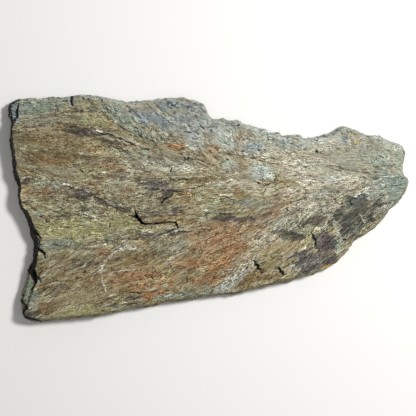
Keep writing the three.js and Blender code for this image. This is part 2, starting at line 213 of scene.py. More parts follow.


# %% [markdown]
# ## Lines that were drawn by the rock
# Some features are single lines: hairline cracks, thin quartz veins and the lips of broken sheets. Each
# is a short run of points with a width. The distance from the run, roughened a little by noise, tells
# both the carving and the colouring where the line is. Open cracks and the broad quartz band change their
# width along the way, so each of their points has a width of its own. The smallest pits are just a place,
# a length and a turn. A ledge's run is its lip, and which side of it a point lies on matters too: a
# painted shadow lies on the low side, and a painted highlight on the high side.

# %% Hairlines and veins: a width and a run, in millimetres on the face
HAIRLINES = {
    "high_sweep_long": (
        1.0, [(-217, 148), (-197, 148), (-177, 140), (-149, 126), (-131, 118), (-117, 118)],
    ),
    "high_sweep_short": (1.2, [(-135, 144), (-123, 139), (-107, 134), (-95, 125)]),
    "facet_foot": (1.2, [(-49, 152), (-37, 152), (-33, 150)]),
    "facet_seam": (1.1, [(-75, 205), (-55, 205), (-37, 203)]),
    "middle_hook": (0.9, [(-80, 66), (-77, 59), (-51, 58), (-32, 57)]),
    "middle_tick": (1.0, [(-47, 102), (-47, 96)]),
    "middle_thread": (0.8, [(-47, 99), (-23, 98), (-9, 92)]),
    "dark_seam_thread": (1.0, [(21, -10), (33, -12), (45, -11)]),
    "east_thread": (0.9, [(83, 60), (95, 52), (107, 50)]),
    "east_tick": (0.9, [(131, 54), (135, 60), (137, 63)]),
    "south_tick": (0.9, [(175, -30), (180, -36), (183, -41)]),
    "west_tick": (0.9, [(-251, 76), (-247, 70), (-243, 67)]),
    "slant_groove": (1.1, [(-87, 36), (-60, 33), (-27, 40), (-11, 46)]),
    "slant_tail": (1.0, [(-98, 4), (-92, 12)]),
    "low_blue_seam": (1.2, [(-157, -167), (-140, -168), (-123, -167)]),
    "left_long_seam": (0.8, [(-345, -17), (-320, -14), (-298, -17), (-285, -14)]),
    "olive_tick": (1.0, [(-197, -30), (-195, -37)]),
    "shoulder_tick": (0.9, [(217, 115), (217, 109)]),
}
VEINS = {
    "west_arc": (2.6, [(-161, -72), (-187, -88), (-209, -110), (-213, -131), (-210, -150), (-204, -166)]),
    "west_branch": (1.4, [(-197, -132), (-187, -126), (-167, -123), (-137, -120)]),
    "west_crossing": (1.0, [(-197, -96), (-207, -108), (-221, -124), (-233, -140)]),
    "west_cap": (2.2, [(-173, -82), (-158, -79), (-145, -80)]),
    "facet_ridge": (3.2, [(-101, 196), (-81, 178), (-71, 172), (-57, 168), (-45, 166), (-41, 154)]),
    "high_thread": (1.0, [(-207, 140), (-177, 136), (-157, 129)]),
    "tip_thread": (1.0, [(325, 44), (327, 28)]),
    "lens_diagonal": (2.6, [(-82, -104), (-60, -92), (-41, -84)]),
    "east_scratch": (0.7, [(303, -12), (308, -22), (312, -30)]),
    "east_scratch_low": (0.7, [(250, -24), (262, -34), (268, -42)]),
    "east_scratch_high": (0.7, [(276, 30), (290, 24), (300, 22)]),
    "east_fan": (1.0, [(316, 34), (340, 44), (362, 52)]),
    "south_east_scratch": (0.9, [(216, -92), (219, -100), (219, -106)]),
    "shoulder_thread": (1.0, [(96, 140), (112, 134), (126, 131)]),
    "north_west_line": (1.0, [(-377, 184), (-347, 186), (-327, 189), (-307, 192)]),
    "low_corner_line": (1.4, [(-365, -208), (-356, -198), (-348, -189), (-338, -181)]),
    "west_line": (1.2, [(-345, 58), (-325, 54), (-305, 52), (-288, 46), (-268, 44)]),
    "west_sweep": (1.2, [(-238, 158), (-212, 152), (-190, 150), (-168, 140), (-145, 128)]),
    "middle_line": (1.6, [(-88, 78), (-60, 82), (-30, 80), (-6, 78), (16, 82)]),
    "low_olive_line": (1.0, [(-330, -10), (-300, -3), (-265, -6), (-240, -10)]),
}
HAIRLINE_LOOK = (51, 0.3)  # the seed of its raggedness, and the strength of its faintest stretches
VEIN_LOOK = (55, 0.6)
print("hairlines and veins:", len(HAIRLINES), "and", len(VEINS))

# %% Cracks and black hollows, in millimetres
CRACKS = {  # the solid's own cracks and pits: x, y, and how wide the soil and painted shade in them is
    "long_crack": [
        (-146, -4, 2), (-143, -14, 5), (-138, -22, 7), (-132, -29, 6), (-124, -31, 3),
        (-108, -31, 2.8), (-91, -28.5, 2.4), (-74, -27.5, 2.4), (-65, -29, 2.8),
    ],
    "long_crack_spur": [(-158, -13, 2), (-149, -16, 4), (-141, -19, 5)],
    "long_crack_tail": [(-65, -28, 3), (-63, -34, 4), (-62, -39, 2)],
    "slant_crack": [(-94, 10, 2), (-87, 18, 4.5), (-80, 22, 4.5), (-71, 27, 2)],
    "rim_notch": [(-275, 230, 5.5), (-272, 218, 6), (-274, 212, 5), (-270, 205, 3.5)],
    "corner_crack": [(-378, 210, 2), (-380, 203, 4.5), (-380.5, 192, 4), (-380, 180, 2)],
    "west_crack_high": [(-352, -40, 5), (-342, -49, 5), (-335, -58, 4), (-333, -64, 2)],
    "west_crack_low": [(-346, -76, 6), (-337, -82, 5), (-327, -89, 4.5), (-324, -99, 2)],
    "fragment_crack": [
        (-346, -128, 4), (-343, -138, 3.5), (-343, -146, 3.5), (-348, -156, 2), (-351, -164, 1.5),
    ],
    "fragment_spur": [(-338, -136, 2.5), (-335, -142, 4), (-333, -147, 2)],
    "east_crack": [(204, -46, 1.5), (208, -53, 3), (209, -59, 4), (214, -63, 3.5), (213, -74, 2.5)],
    "south_crack_west": [
        (89, -103, 3), (93, -106, 3), (94, -112, 7), (99, -114, 6), (98, -120, 5), (104, -120, 4),
    ],
    "south_crack_spot": [(105, -126, 4), (107, -129, 3)],
    "south_crack_east": [(139, -119, 5), (142, -121, 6), (144, -126, 6), (149, -127, 4), (149, -132, 3)],
    "edge_crack": [(270, -62, 4), (274, -62, 5)],
    "south_pit_west": [(-113, -136, 1.5), (-111, -140, 3), (-110, -142, 1.5)],
    "south_pit_east": [(-43, -137, 1.5), (-42, -141, 2.8), (-42, -146, 1.5)],
    "north_pit": [(35, 100, 1.5), (38, 98, 3), (40, 96, 1.5)],
    "shoulder_pit": [(190, 119, 1), (192, 117.5, 2.5), (194, 116, 1)],
    "east_pit": [(282, 15, 2.5), (282, 12, 4.5), (283, 8, 2.5)],
}
PAINTED_RIM_SHADE = {  # painted shade: black marks in the shaded hollows of the west and south-west edge: x, y and width
    "west_hollow": [(-350, -96, 8), (-353, -112, 12), (-352, -126, 20), (-344, -138, 8)],
    "corner_high": [(-378, -163, 2), (-374, -170, 4.5), (-368, -175, 2)],
    "corner_middle": [(-380, -179, 4), (-372, -186, 6), (-362, -195, 5), (-360, -200, 3)],
    "corner_long": [(-380, -185, 4), (-376, -197, 6), (-373, -207, 6)],
    "corner_short": [(-366, -190, 3), (-365, -200, 5), (-370, -210, 5)],
    "corner_loop": [(-343, -150, 2), (-349, -157, 4), (-355, -162, 2)],
    "south_corner": [(-371, -212, 5), (-362, -218, 6), (-348, -221, 6), (-333, -226, 4)],
}
print("cracks and black hollows:", len(CRACKS), "and", len(PAINTED_RIM_SHADE))

# %% Ledges, small pits and the quartz band, in millimetres
LEDGES = {  # the lips of the solid's own low ledges, from west to east: the lower side is to the south
    "west_band": [(-376, 116), (-330, 113), (-280, 112), (-238, 103), (-206, 100)],
    "upper_seam": [(-236, 62), (-196, 70), (-150, 70), (-104, 76), (-66, 74), (-18, 82)],
    "rubble_foot": [(20, 112), (58, 108), (94, 98), (132, 90), (176, 84)],
    "east_sweep": [(196, 92), (236, 90), (276, 78), (312, 70), (338, 66)],
    "middle_fold": [(16, 22), (60, 26), (108, 22), (150, 30), (184, 34)],
    "west_fold": [(-352, -6), (-318, -2), (-276, -8), (-232, -18), (-196, -24)],
    "west_low_seam": [(-322, -68), (-280, -76), (-236, -82), (-196, -72), (-160, -68)],
    "south_west_sweep": [(-330, -160), (-286, -146), (-238, -134), (-190, -124), (-146, -112)],
    "south_seam": [(-222, -184), (-176, -172), (-122, -166), (-72, -154)],
    "high_sweep": [(-222, 153), (-197, 146), (-173, 138), (-141, 126), (-119, 117)],
    "under_facet": [(-184, 169), (-150, 150), (-123, 137), (-96, 125)],
    "west_seam": [
        (-384, 58), (-345, 57), (-312, 54), (-282, 44), (-250, 36), (-216, 18), (-186, 2), (-164, -6),
    ],
    "middle_sweep": [(-84, 34), (-40, 41), (3, 47), (46, 53)],
    "dark_seam": [(-9, -7), (20, -11), (50, -10), (76, -6)],
    "purple_seam": [(-180, -45), (-127, -48), (-87, -53), (-51, -45), (-20, -47)],
    "east_seam": [(134, -44), (150, -48), (172, -50), (198, -43)],
    "south_east_seam": [(143, -106), (172, -90), (206, -78)],
    "green_shelf": [(332, 50), (352, 59), (378, 61), (396, 60)],
}
FLECKS = [  # small dark pits: x, y, length and turn in degrees
    (-74, 77, 7, 70), (68, 114, 6, 10), (29, -171, 9, 10), (145, -98, 8, 55), (157, -2, 8, -40),
    (77, -118, 6, 80), (214, 113, 5, 70), (-80, -164, 6, 0), (-196, -34, 7, 75), (266, 12, 7, 80),
    (224, -8, 6, 20), (106, -126, 6, -50), (-74, -116, 6, -60), (119, 48, 8, 20), (113, 36, 6, 60),
    (-292, 0, 7, -40), (-252, 74, 7, -40), (-322, -26, 6, -60), (24, 90, 6, 30), (-40, 99, 6, 80),
    (190, -36, 6, 60), (-246, -126, 5, 60), (250, -14, 6, 60), (310, 62, 5, -30), (60, 166, 4, 10),
]
QUARTZ_BAND = {  # x, y and width
    "diagonal": [
        (24, -168, 34), (40, -152, 28), (60, -136, 20), (83, -114, 15), (99, -92, 12), (120, -68, 11),
        (136, -40, 12), (153, -10, 14), (168, 8, 16),
    ],
}
print("ledges and small pits:", len(LEDGES), "and", len(FLECKS))


# %% From lines to masks
def beside_run(x, y, run):
    """The distance from each point to a run of straight stretches, negative on the run's right side."""
    nearest = np.full(len(x), np.inf)
    side = np.ones(len(x))
    for (ax, ay), (bx, by) in zip(run, run[1:]):
        dx, dy = bx - ax, by - ay
        share = np.clip(((x - ax) * dx + (y - ay) * dy) / (dx * dx + dy * dy), 0, 1)
        away_x, away_y = x - ax - share * dx, y - ay - share * dy
        away = np.hypot(away_x, away_y)
        closer = away < nearest
        side[closer] = np.sign(dx * away_y - dy * away_x)[closer]
        nearest = np.minimum(nearest, away)
    return side * nearest


def line_mask(x, y, lines, seed, faintest):
    """1 on the lines and 0 off them, with ragged sides and a few stretches as low as the faintest."""
    ragged_x = x + 1.6 * noise(seed, x / 7, y / 7)
    ragged_y = y + 1.6 * noise(seed + 1, x / 7, y / 7)
    mask = np.zeros(len(x))
    for width, run in lines.values():
        away = np.abs(beside_run(ragged_x, ragged_y, run))
        mask = np.maximum(mask, 1 - smooth_step(0.5 * width, 0.5 * width + 1.6, away))
    return mask * (faintest + (1 - faintest) * smooth_step(-0.6, 0.1, noise(seed + 2, x / 11, y / 11)))


def ribbon_mask(x, y, ribbons, softness):
    """1 inside ribbons whose width changes along their length, falling to 0 past their sides."""
    mask = np.zeros(len(x))
    for run in ribbons.values():
        for (ax, ay, a_width), (bx, by, b_width) in zip(run, run[1:]):
            away = np.abs(beside_run(x, y, [(ax, ay), (bx, by)]))
            share = away / (0.25 * (a_width + b_width))
            mask = np.maximum(mask, 1 - smooth_step(1 - softness, 1 + softness, share))
    return mask


def fleck_mask(x, y):
    """1 in the small dark pits."""
    mask = np.zeros(len(x))
    for fleck_x, fleck_y, length, turn in FLECKS:
        half_x = 0.5 * length * math.cos(math.radians(turn))
        half_y = 0.5 * length * math.sin(math.radians(turn))
        run = [(fleck_x - half_x, fleck_y - half_y), (fleck_x + half_x, fleck_y + half_y)]
        mask = np.maximum(mask, 1 - smooth_step(0.5, 2.2, np.abs(beside_run(x, y, run))))
    return mask


def ledge_marks(x, y):
    """Where the foot of a ledge is, carved lower and painted as shade, and where its lip above is painted
    as a highlight.
    """
    bent_y = y + 3.4 * noise(46, x / 22, y / 16) + 1.4 * noise(47, x / 7, y / 7)
    foot = np.zeros(len(x))
    lip = np.zeros(len(x))
    for run in LEDGES.values():
        above = beside_run(x, bent_y, run)
        foot = np.maximum(foot, 1 - smooth_step(0.4, 2.0, np.abs(above + 1.0)))
        lip = np.maximum(lip, 1 - smooth_step(1.2, 3.6, np.abs(above - 3.2)))
    foot *= 0.85 * smooth_step(-0.2, 0.5, noise(48, x / 16, y / 16))
    lip *= smooth_step(-0.3, 0.4, noise(49, x / 20, y / 20))
    return foot, lip


# %% [markdown]
# ## Carving the relief
# A sculptor would drag a rake brush along the grain. Here each point of the net moves by a sum of
# layers, from the large swell down to the tooth of the grain. Points on the face and the bed move up or
# down, and points on the broken edge move in or out, where the sheets show as thin level ledges. The bed
# is only ever hollowed, so that the stone keeps resting on the same plane.
#
# Each layer below is written in the same way: how high it is, a seed, and how long and wide its bumps
# are. All of these sizes are in millimetres.


# %% Read and write a mesh's points as arrays
def places_of(mesh):
    """The points of a mesh, in millimetres."""
    flat = np.empty(len(mesh.vertices) * 3, np.float32)
    mesh.vertices.foreach_get("co", flat)
    return flat.reshape(-1, 3).astype(float) / MM


def normals_of(mesh):
    """The direction that each point of a mesh faces."""
    flat = np.empty(len(mesh.vertices) * 3, np.float32)
    mesh.vertex_normals.foreach_get("vector", flat)
    return flat.reshape(-1, 3).astype(float)


def neighbour_mean(mesh, values, rounds):
    """values at the points, averaged with their neighbours a few times."""
    ends = np.empty(len(mesh.edges) * 2, np.int32)
    mesh.edges.foreach_get("vertices", ends)
    a, b = ends.reshape(-1, 2).T
    count = np.bincount(ends, minlength=len(values))[:, None]
    for _ in range(rounds):
        gathered = np.stack(
            [
                np.bincount(a, column[b], len(values)) + np.bincount(b, column[a], len(values))
                for column in values.T
            ],
            axis=1,
        )
        values = 0.5 * values + 0.5 * gathered / count
    return values


# %% Flakes: where one sheet ends and the next one shows
FLAKE_STEP = 1.8  # mm that one flaked sheet stands above the next


def flake_field(x, y, lean):
    """How many sheets are left above some depth. It is a smooth number here."""
    wide = 1.3 * grained(32, x, y, lean, 80, 20) + 0.7 * grained(33, x, y, lean, 36, 10)
    return wide + 0.25 * grained(34, x, y, lean, 14, 6)


def flakes(x, y, lean):
    """The height of the flaked sheets, and how close each point is to the lip of one."""
    reach = 0.8  # mm
    field = flake_field(x, y, lean)
    rise_x = flake_field(x + reach, y, lean) - field
    rise_y = flake_field(x, y + reach, lean) - field
    slope = np.hypot(rise_x, rise_y) / reach
    level = np.floor(field)
    past_lip = (field - level - 0.5) / np.maximum(slope, 0.01)  # mm
    crisp = smooth_step(-0.5, 0.3, noise(30, x / 50, y / 24))
    stepped = level + smooth_step(-1.1, 1.1, past_lip)
    height = FLAKE_STEP * (field + crisp * (stepped - 0.5 - field))
    return height, crisp * (1 - smooth_step(0.6, 2.2, np.abs(past_lip)))


# %% Face relief: swell, flakes, tooth and single lines
def rubble(x, y):
    """The bumps of the rubble, and how rubbly each point is. Only the northern rim is."""
    return noise(36, x / 9, y / 7), smooth_step(80, 120, y)


def face_relief(x, y):
    """How far the face stands above the solid's, in millimetres."""
    lean = lean_at(x, y)
    swell = 1.6 * grained(31, x, y, lean, 110, 42)
    tooth = 0.7 * grained(35, x, y, lean, 13, 5) + 0.4 * grained(38, x, y, lean, 7, 3.4)
    bumps, rubbly = rubble(x, y)
    knobs = 1.6 * bumps * rubbly
    cut = 1.0 * line_mask(x, y, HAIRLINES, *HAIRLINE_LOOK) + 0.9 * ledge_marks(x, y)[0]
    cut += 0.8 * fleck_mask(x, y)
    cut += 1.6 * ribbon_mask(x, y, CRACKS, 0.4)
    proud = 0.3 * line_mask(x, y, VEINS, *VEIN_LOOK)
    crumbs = 0.8 * ribbon_mask(x, y, QUARTZ_BAND, 0.6) * noise(37, x / 4.5, y / 4.5)
    return swell + flakes(x, y, lean)[0] + tooth + knobs - cut + proud + crumbs


# %% Edge relief: the broken ends of the sheets
def edge_relief(x, y, z):
    """How far the broken edge stands out from the solid's, in millimetres."""
    level = z + 2.2 * noise(41, x / 55, y / 55)
    sheets = 1.6 * noise(42, x / 30, y / 30, level / 4.4) + 0.9 * noise(43, x / 12, y / 12, level / 2.6)
    bites = 1.3 * noise(44, x / 14, y / 14, z / 12)
    chips = 1.5 * noise(39, x / 7, y / 7, z / 14) + 0.7 * noise(40, x / 3.6, y / 3.6, z / 8)
    return sheets + np.minimum(bites, 0.3) + np.minimum(chips, 0.7) - 0.5


# %% Move every point of the net
def carve(piece):
    """Carves the relief into the net and says how far it moved."""
    mesh = piece.data
    place = places_of(mesh)
    x, y, z = place.T
    facing = neighbour_mean(mesh, normals_of(mesh), 2)
    facing /= np.linalg.norm(facing, axis=1, keepdims=True)
    on_face = smooth_step(0.35, 0.8, facing[:, 2])
    on_bed = smooth_step(0.35, 0.8, -facing[:, 2])
    on_edge = 1 - on_face - on_bed
    bed_hollow = 0.8 * smooth_step(-0.1, 0.9, noise(45, x / 60, y / 22))
    face_rise = np.zeros(len(x))
    upper = on_face > 0
    face_rise[upper] = face_relief(x[upper], y[upper])
    move = np.zeros_like(place)
    move[:, 2] = on_face * face_rise + on_bed * bed_hollow
    move[:, :2] = (on_edge * edge_relief(x, y, z))[:, None] * facing[:, :2]
    place += move
    place[:, 2] = np.maximum(place[:, 2], 0)
    mesh.vertices.foreach_set("co", (place * MM).astype(np.float32).ravel())
    mesh.update()
    return move


moved = carve(stone)
print("carved by up to", np.abs(moved).max().round(2), "mm")

# %% [markdown]
# ## Thinning the net
# The net is as dense on the plain bed as on the rough face. The Decimate modifier collapses the points
# that carry the least shape, so that the face keeps its detail and the piece stays light.

# %% Collapse the points that carry no shape
MOST_TRIANGLES = 196_000


def thin(piece, most):
    """Collapses the mesh to at most that many triangles."""
    now = sum(len(p.vertices) - 2 for p in piece.data.polygons)
    collapse = piece.modifiers.new("thin", "DECIMATE")
    collapse.ratio = min(1, most / now)
    mesh = baked_mesh(piece)
    mesh.polygons.foreach_set("use_smooth", np.ones(len(mesh.polygons), bool))
    return now, sum(len(p.vertices) - 2 for p in mesh.polygons)


print("triangles before and after:", thin(stone, MOST_TRIANGLES))

# %% [markdown]
# ## Where the stains lie
# Iron, clay, algae and lichen colour the stone in patches. Each patch is an oval: x, y, half length,
# half width, turn in degrees and strength. The patches of one kind are gathered in an attribute on the
# mesh's points, which runs from 0 to 1, and the material later breaks its edges up along the grain.
#
# Four more lists hold no colour. They say where the face is paler or darker, and where the grain's
# contrast is low or high.

# %% Patches by kind, in millimetres and degrees
PATCHES = {
    "ochre": [
        (-150, -135, 150, 44, 10, 1.0), (-10, -130, 110, 40, 20, 0.9), (-300, 128, 100, 42, 0, 0.85),
        (-230, -180, 90, 24, 8, 0.6), (110, -95, 50, 26, 30, 0.6), (-250, 60, 90, 30, 0, 0.4),
        (-60, 20, 90, 24, 6, 0.6), (-290, -30, 80, 30, 0, 0.5), (-70, -8, 70, 46, 8, 0.9),
        (-90, -75, 70, 26, 14, 0.6), (-355, 20, 40, 50, 0, 0.6), (-10, -155, 80, 22, 16, 0.9),
        (84, -140, 30, 14, 24, 0.9), (-200, 10, 60, 26, -10, 0.5), (-150, -70, 60, 24, 6, 0.6),
        (160, -85, 40, 24, 30, 0.6), (40, 20, 60, 30, 8, 0.5), (180, 20, 40, 20, 8, 0.5),
        (66, 134, 22, 22, 0, 1.0),
    ],
    "silver": [
        (60, 142, 110, 46, -14, 1.0), (290, 112, 120, 50, -8, 0.9), (355, 40, 50, 70, 0, 1.0),
        (180, -16, 90, 34, 14, 0.9), (-90, 182, 120, 40, -14, 1.0), (-345, 190, 70, 30, 0, 0.9),
        (-90, 90, 90, 30, 0, 0.8), (240, 20, 80, 40, 10, 0.7), (120, -50, 60, 24, 40, 0.7),
        (-140, 60, 70, 26, 0, 0.6), (60, 70, 70, 20, 0, 0.5), (-100, 0, 50, 16, 6, 0.7),
        (60, -120, 40, 30, 40, 0.8), (-290, -170, 60, 20, 8, 0.5), (260, -66, 24, 26, 0, 0.8),
    ],
    "olive": [
        (-225, 180, 45, 16, -14, 0.8), (-285, 190, 34, 9, 0, 0.5), (-240, 72, 36, 20, 0, 0.6),
        (-330, 85, 50, 12, 0, 0.5), (-290, -4, 75, 10, 3, 0.75), (-268, -42, 88, 21, 0, 1.0),
        (-168, -26, 38, 20, 0, 0.9), (-100, -40, 40, 8, 3, 0.8), (-262, -208, 60, 14, 4, 0.8),
        (-240, -176, 62, 22, 6, 0.55), (-172, -195, 44, 12, 6, 0.65), (290, 146, 12, 9, 0, 0.5),
        (328, 128, 44, 10, -18, 0.35), (118, -96, 30, 24, 40, 0.6), (196, -62, 14, 11, 0, 0.7),
        (-165, 140, 40, 14, -22, 0.5), (-352, 66, 9, 6, 0, 0.6), (-150, 20, 44, 8, -6, 0.5),
        (-76, -124, 12, 4, 0, 0.8), (-70, -158, 8, 3, 0, 0.8), (-205, 20, 30, 8, -16, 0.4),
        (-365, 118, 24, 20, 0, 0.5), (150, -110, 20, 10, 24, 0.5), (-20, 22, 40, 10, 4, 0.4),
        (-104, -142, 44, 11, 8, 0.6), (-300, 10, 44, 10, 0, 0.5), (320, 4, 30, 10, 30, 0.35),
        (20, -96, 24, 6, 24, 0.5), (70, -66, 24, 6, 26, 0.4), (-130, -150, 26, 6, 10, 0.5),
        (-60, -60, 20, 5, 10, 0.5), (-260, -170, 40, 10, 14, 0.5), (-230, -160, 30, 8, 20, 0.5),
    ],
    "umber": [
        (-320, 106, 62, 17, 0, 1.0), (-345, 142, 50, 14, 0, 0.6), (-282, 164, 32, 10, -4, 0.75),
        (-268, 178, 30, 7, -4, 0.55), (-330, 22, 40, 9, -3, 0.45), (-300, -155, 44, 14, 8, 0.7),
        (-285, -110, 46, 14, 5, 0.45), (80, -141, 42, 12, 22, 0.95), (124, -138, 30, 10, 16, 0.65),
        (-240, 102, 50, 8, 0, 0.45), (-180, -108, 30, 8, 0, 0.4), (-200, -148, 34, 14, 8, 0.5),
        (10, 92, 34, 9, 0, 0.45), (-120, 100, 50, 10, -8, 0.4), (-30, 50, 50, 10, 4, 0.4),
        (-40, -142, 30, 9, 12, 0.6), (-290, 138, 44, 13, 0, 0.6), (-128, 14, 34, 7, 8, 0.6),
        (74, -122, 20, 9, 44, 0.6), (-30, -26, 34, 8, 10, 0.5), (-98, 181, 18, 6, -20, 0.5),
        (-90, -95, 44, 10, 12, 0.5), (-170, -112, 60, 12, 8, 0.45), (100, -135, 50, 10, 18, 0.5),
        (-322, -200, 34, 13, 6, 1.0), (-300, -170, 30, 8, 6, 0.6), (-30, 118, 40, 12, -8, 0.4),
        (50, -100, 30, 7, 26, 0.6), (0, -70, 34, 7, 14, 0.5), (70, -50, 30, 7, 14, 0.5),
        (-150, -112, 30, 7, 8, 0.5), (70, -124, 24, 9, 44, 0.8), (40, -102, 30, 8, 20, 0.5),
        (332, -22, 28, 12, 45, 0.5),
    ],
    "clay": [
        (20, -58, 62, 34, 8, 0.95), (74, -38, 52, 15, 6, 0.7), (-30, -110, 52, 16, 5, 0.75),
        (-150, -135, 62, 18, 8, 0.85), (-108, -158, 42, 14, 10, 0.85), (-210, -85, 26, 10, 0, 0.75),
        (14, 120, 22, 9, 0, 0.7), (65, 136, 18, 16, 0, 0.5), (120, -14, 42, 13, 8, 0.55),
        (152, 2, 30, 11, 5, 0.55), (-180, 84, 44, 12, -5, 0.5), (155, 108, 42, 6, -4, 0.6),
        (0, -141, 38, 10, 12, 0.85), (-355, 150, 34, 10, 0, 0.45), (-300, 92, 46, 9, 0, 0.45),
        (-365, 40, 26, 12, 0, 0.45), (45, 44, 60, 8, 2, 0.45), (150, 26, 30, 12, 12, 0.5),
        (250, 104, 30, 12, 0, 0.4), (-60, 100, 50, 9, -3, 0.4), (150, -78, 30, 8, 20, 0.45),
        (100, -45, 28, 10, 20, 0.7), (128, -72, 36, 16, 42, 0.6), (-150, -97, 44, 8, 4, 0.5),
        (-50, 213, 24, 6, -4, 0.5), (-245, 88, 26, 7, 0, 0.4), (-145, -186, 26, 7, 8, 0.4),
        (30, 52, 40, 8, 4, 0.4), (-120, -30, 60, 8, 3, 0.4), (150, 60, 60, 12, 0, 0.4),
        (-290, -118, 34, 8, 6, 0.5), (-335, 32, 40, 8, -4, 0.5), (-230, 118, 40, 9, -4, 0.45),
        (210, 100, 60, 10, -4, 0.5), (-335, -205, 20, 8, 6, 0.6), (100, -62, 30, 12, 40, 0.6),
        (-102, -152, 50, 10, 8, 0.6),
    ],
    "rust": [
        (30, -90, 60, 40, 20, 0.45), (-100, -150, 80, 26, 10, 0.45), (-20, -125, 60, 18, 10, 0.4),
        (28, -108, 38, 13, 22, 0.75), (46, -84, 30, 9, 16, 0.45), (-152, -138, 40, 11, 8, 0.5),
        (-112, -173, 26, 9, 12, 0.8), (-20, -146, 28, 7, 12, 0.6), (-74, 122, 16, 7, 0, 0.75),
        (-193, 168, 6, 4, 0, 1.0), (-50, -104, 26, 8, 0, 0.5), (-310, 94, 44, 8, 0, 0.5),
        (283, 131, 10, 5, 0, 0.3), (62, 138, 12, 12, 0, 0.4), (-219, -90, 18, 8, 0, 0.6),
        (-45, 44, 9, 6, 0, 0.5), (130, -8, 22, 8, 0, 0.5), (-80, -140, 26, 9, 10, 0.6),
        (20, -140, 20, 7, 14, 0.5), (150, 106, 30, 5, -4, 0.4), (64, 124, 14, 8, -10, 0.35),
        (-66, 122, 22, 9, 0, 0.7), (-36, -142, 22, 8, 12, 0.7),
    ],
    "cream": [
        (270, 60, 80, 24, 0, 0.6), (190, 84, 62, 26, 0, 0.85), (150, 106, 62, 9, -4, 0.6),
        (228, 126, 52, 14, 8, 0.75), (-62, 80, 52, 7, 0, 0.75), (215, 52, 44, 15, 0, 0.8),
        (60, 50, 62, 9, 2, 0.7), (100, 38, 50, 10, 0, 0.55), (275, 96, 52, 18, -6, 0.55),
        (282, 140, 42, 9, -8, 0.6), (202, 8, 32, 12, 0, 0.6), (165, 34, 32, 14, 10, 0.55),
        (-65, -76, 38, 16, 12, 0.5), (106, -52, 32, 12, 40, 0.3), (60, 74, 40, 8, 0, 0.5),
        (335, 110, 30, 14, -14, 0.4), (20, 108, 30, 5, 0, 0.4), (-240, -60, 60, 6, 0, 0.35),
        (-200, 42, 24, 5, 0, 0.4), (-330, 204, 20, 5, 0, 0.3), (-150, 205, 26, 8, 0, 0.5),
        (0, 30, 36, 7, 6, 0.4), (-85, -37, 32, 5, 0, 0.6), (-140, -10, 22, 8, 0, 0.3),
        (-50, 208, 20, 6, 0, 0.3), (-110, 92, 60, 5, 0, 0.4), (-180, 52, 40, 6, -4, 0.5),
        (110, -60, 34, 9, 46, 0.5), (-197, -98, 26, 6, 48, 0.5), (-165, -78, 26, 6, 8, 0.5),
        (-5, -68, 26, 6, 14, 0.35), (80, -88, 26, 6, 38, 0.5), (380, 70, 12, 6, 0, 0.4),
        (-48, -126, 20, 7, 10, 0.4), (320, 22, 24, 8, 30, 0.5), (-250, 140, 30, 6, 0, 0.3),
    ],
    "chalk": [
        (300, 112, 100, 40, -6, 0.45), (110, 74, 25, 17, 0, 1.0), (34, 142, 20, 22, 0, 1.0),
        (14, 164, 24, 15, 0, 0.8), (-30, 128, 24, 14, 0, 0.65), (-160, 206, 30, 7, 0, 0.5),
        (-300, 214, 34, 6, 0, 0.5), (130, 147, 42, 9, -8, 0.85), (95, 161, 52, 9, -16, 0.8),
        (186, 138, 42, 8, 8, 0.7), (240, 146, 42, 11, 14, 0.8), (-170, -80, 24, 7, 3, 0.5),
        (44, 88, 17, 8, 0, 0.7), (244, 60, 34, 10, 0, 0.6), (365, 122, 26, 9, -26, 0.7),
        (-5, 180, 12, 18, 20, 0.5), (26, 130, 14, 7, 0, 0.7), (-215, 212, 26, 6, -8, 0.5),
        (270, 30, 14, 18, 0, 0.3), (-20, 168, 20, 9, -20, 0.5), (320, 140, 24, 6, -20, 0.5),
        (-60, -72, 26, 10, 12, 0.3), (240, 30, 42, 11, 0, 0.5), (312, 32, 26, 12, 20, 0.75),
        (-220, 216, 20, 6, 0, 0.5), (90, 130, 70, 34, -10, 0.45), (-170, -76, 20, 6, 0, 0.5),
        (30, 130, 50, 30, -20, 0.35), (160, 122, 40, 20, -6, 0.5), (182, 130, 34, 13, 0, 0.7),
        (255, -40, 26, 8, -58, 0.6),
    ],
    "sage": [
        (-345, 203, 56, 14, 0, 1.0), (-296, 209, 40, 10, 0, 0.7), (-182, 186, 42, 13, -24, 0.8),
        (-158, 162, 42, 10, -24, 0.65), (-310, 50, 52, 9, -4, 0.65), (-310, -72, 52, 15, 4, 0.8),
        (-350, -160, 10, 36, 8, 1.0), (70, 14, 52, 10, 4, 0.6), (-60, -173, 52, 8, 7, 0.75),
        (260, -72, 11, 22, -12, 0.8), (350, 96, 42, 24, -20, 0.55), (-190, 44, 34, 8, 0, 0.55),
        (-342, -8, 30, 8, 0, 0.6), (-120, 142, 40, 10, -18, 0.5), (60, 62, 40, 6, 0, 0.35),
        (0, -166, 30, 8, 8, 0.6), (-215, -62, 50, 6, 3, 0.45), (255, -18, 10, 20, 0, 0.4),
        (-75, -88, 44, 14, 15, 0.4), (-62, -74, 34, 14, 12, 0.5), (230, -34, 16, 9, 0, 0.6),
        (230, 20, 40, 14, 0, 0.35), (160, -95, 26, 6, 16, 0.5), (-15, -158, 28, 8, 8, 0.6),
        (178, -114, 22, 9, 24, 0.8), (100, 6, 38, 9, 6, 0.6), (-178, 203, 18, 9, -20, 0.7),
        (300, 84, 60, 20, -6, 0.4), (20, -75, 50, 10, 16, 0.3), (-362, -165, 12, 40, 8, 0.9),
        (-352, -195, 14, 14, 30, 0.7), (10, -164, 40, 8, 10, 0.7),
    ],
    "slate": [
        (-104, 176, 52, 13, -18, 1.0), (-60, 206, 46, 12, 0, 0.85), (-18, 190, 18, 26, 20, 0.85),
        (-388, 192, 12, 26, 0, 1.0), (92, 123, 20, 9, 5, 0.95), (-34, 126, 24, 10, 0, 0.4),
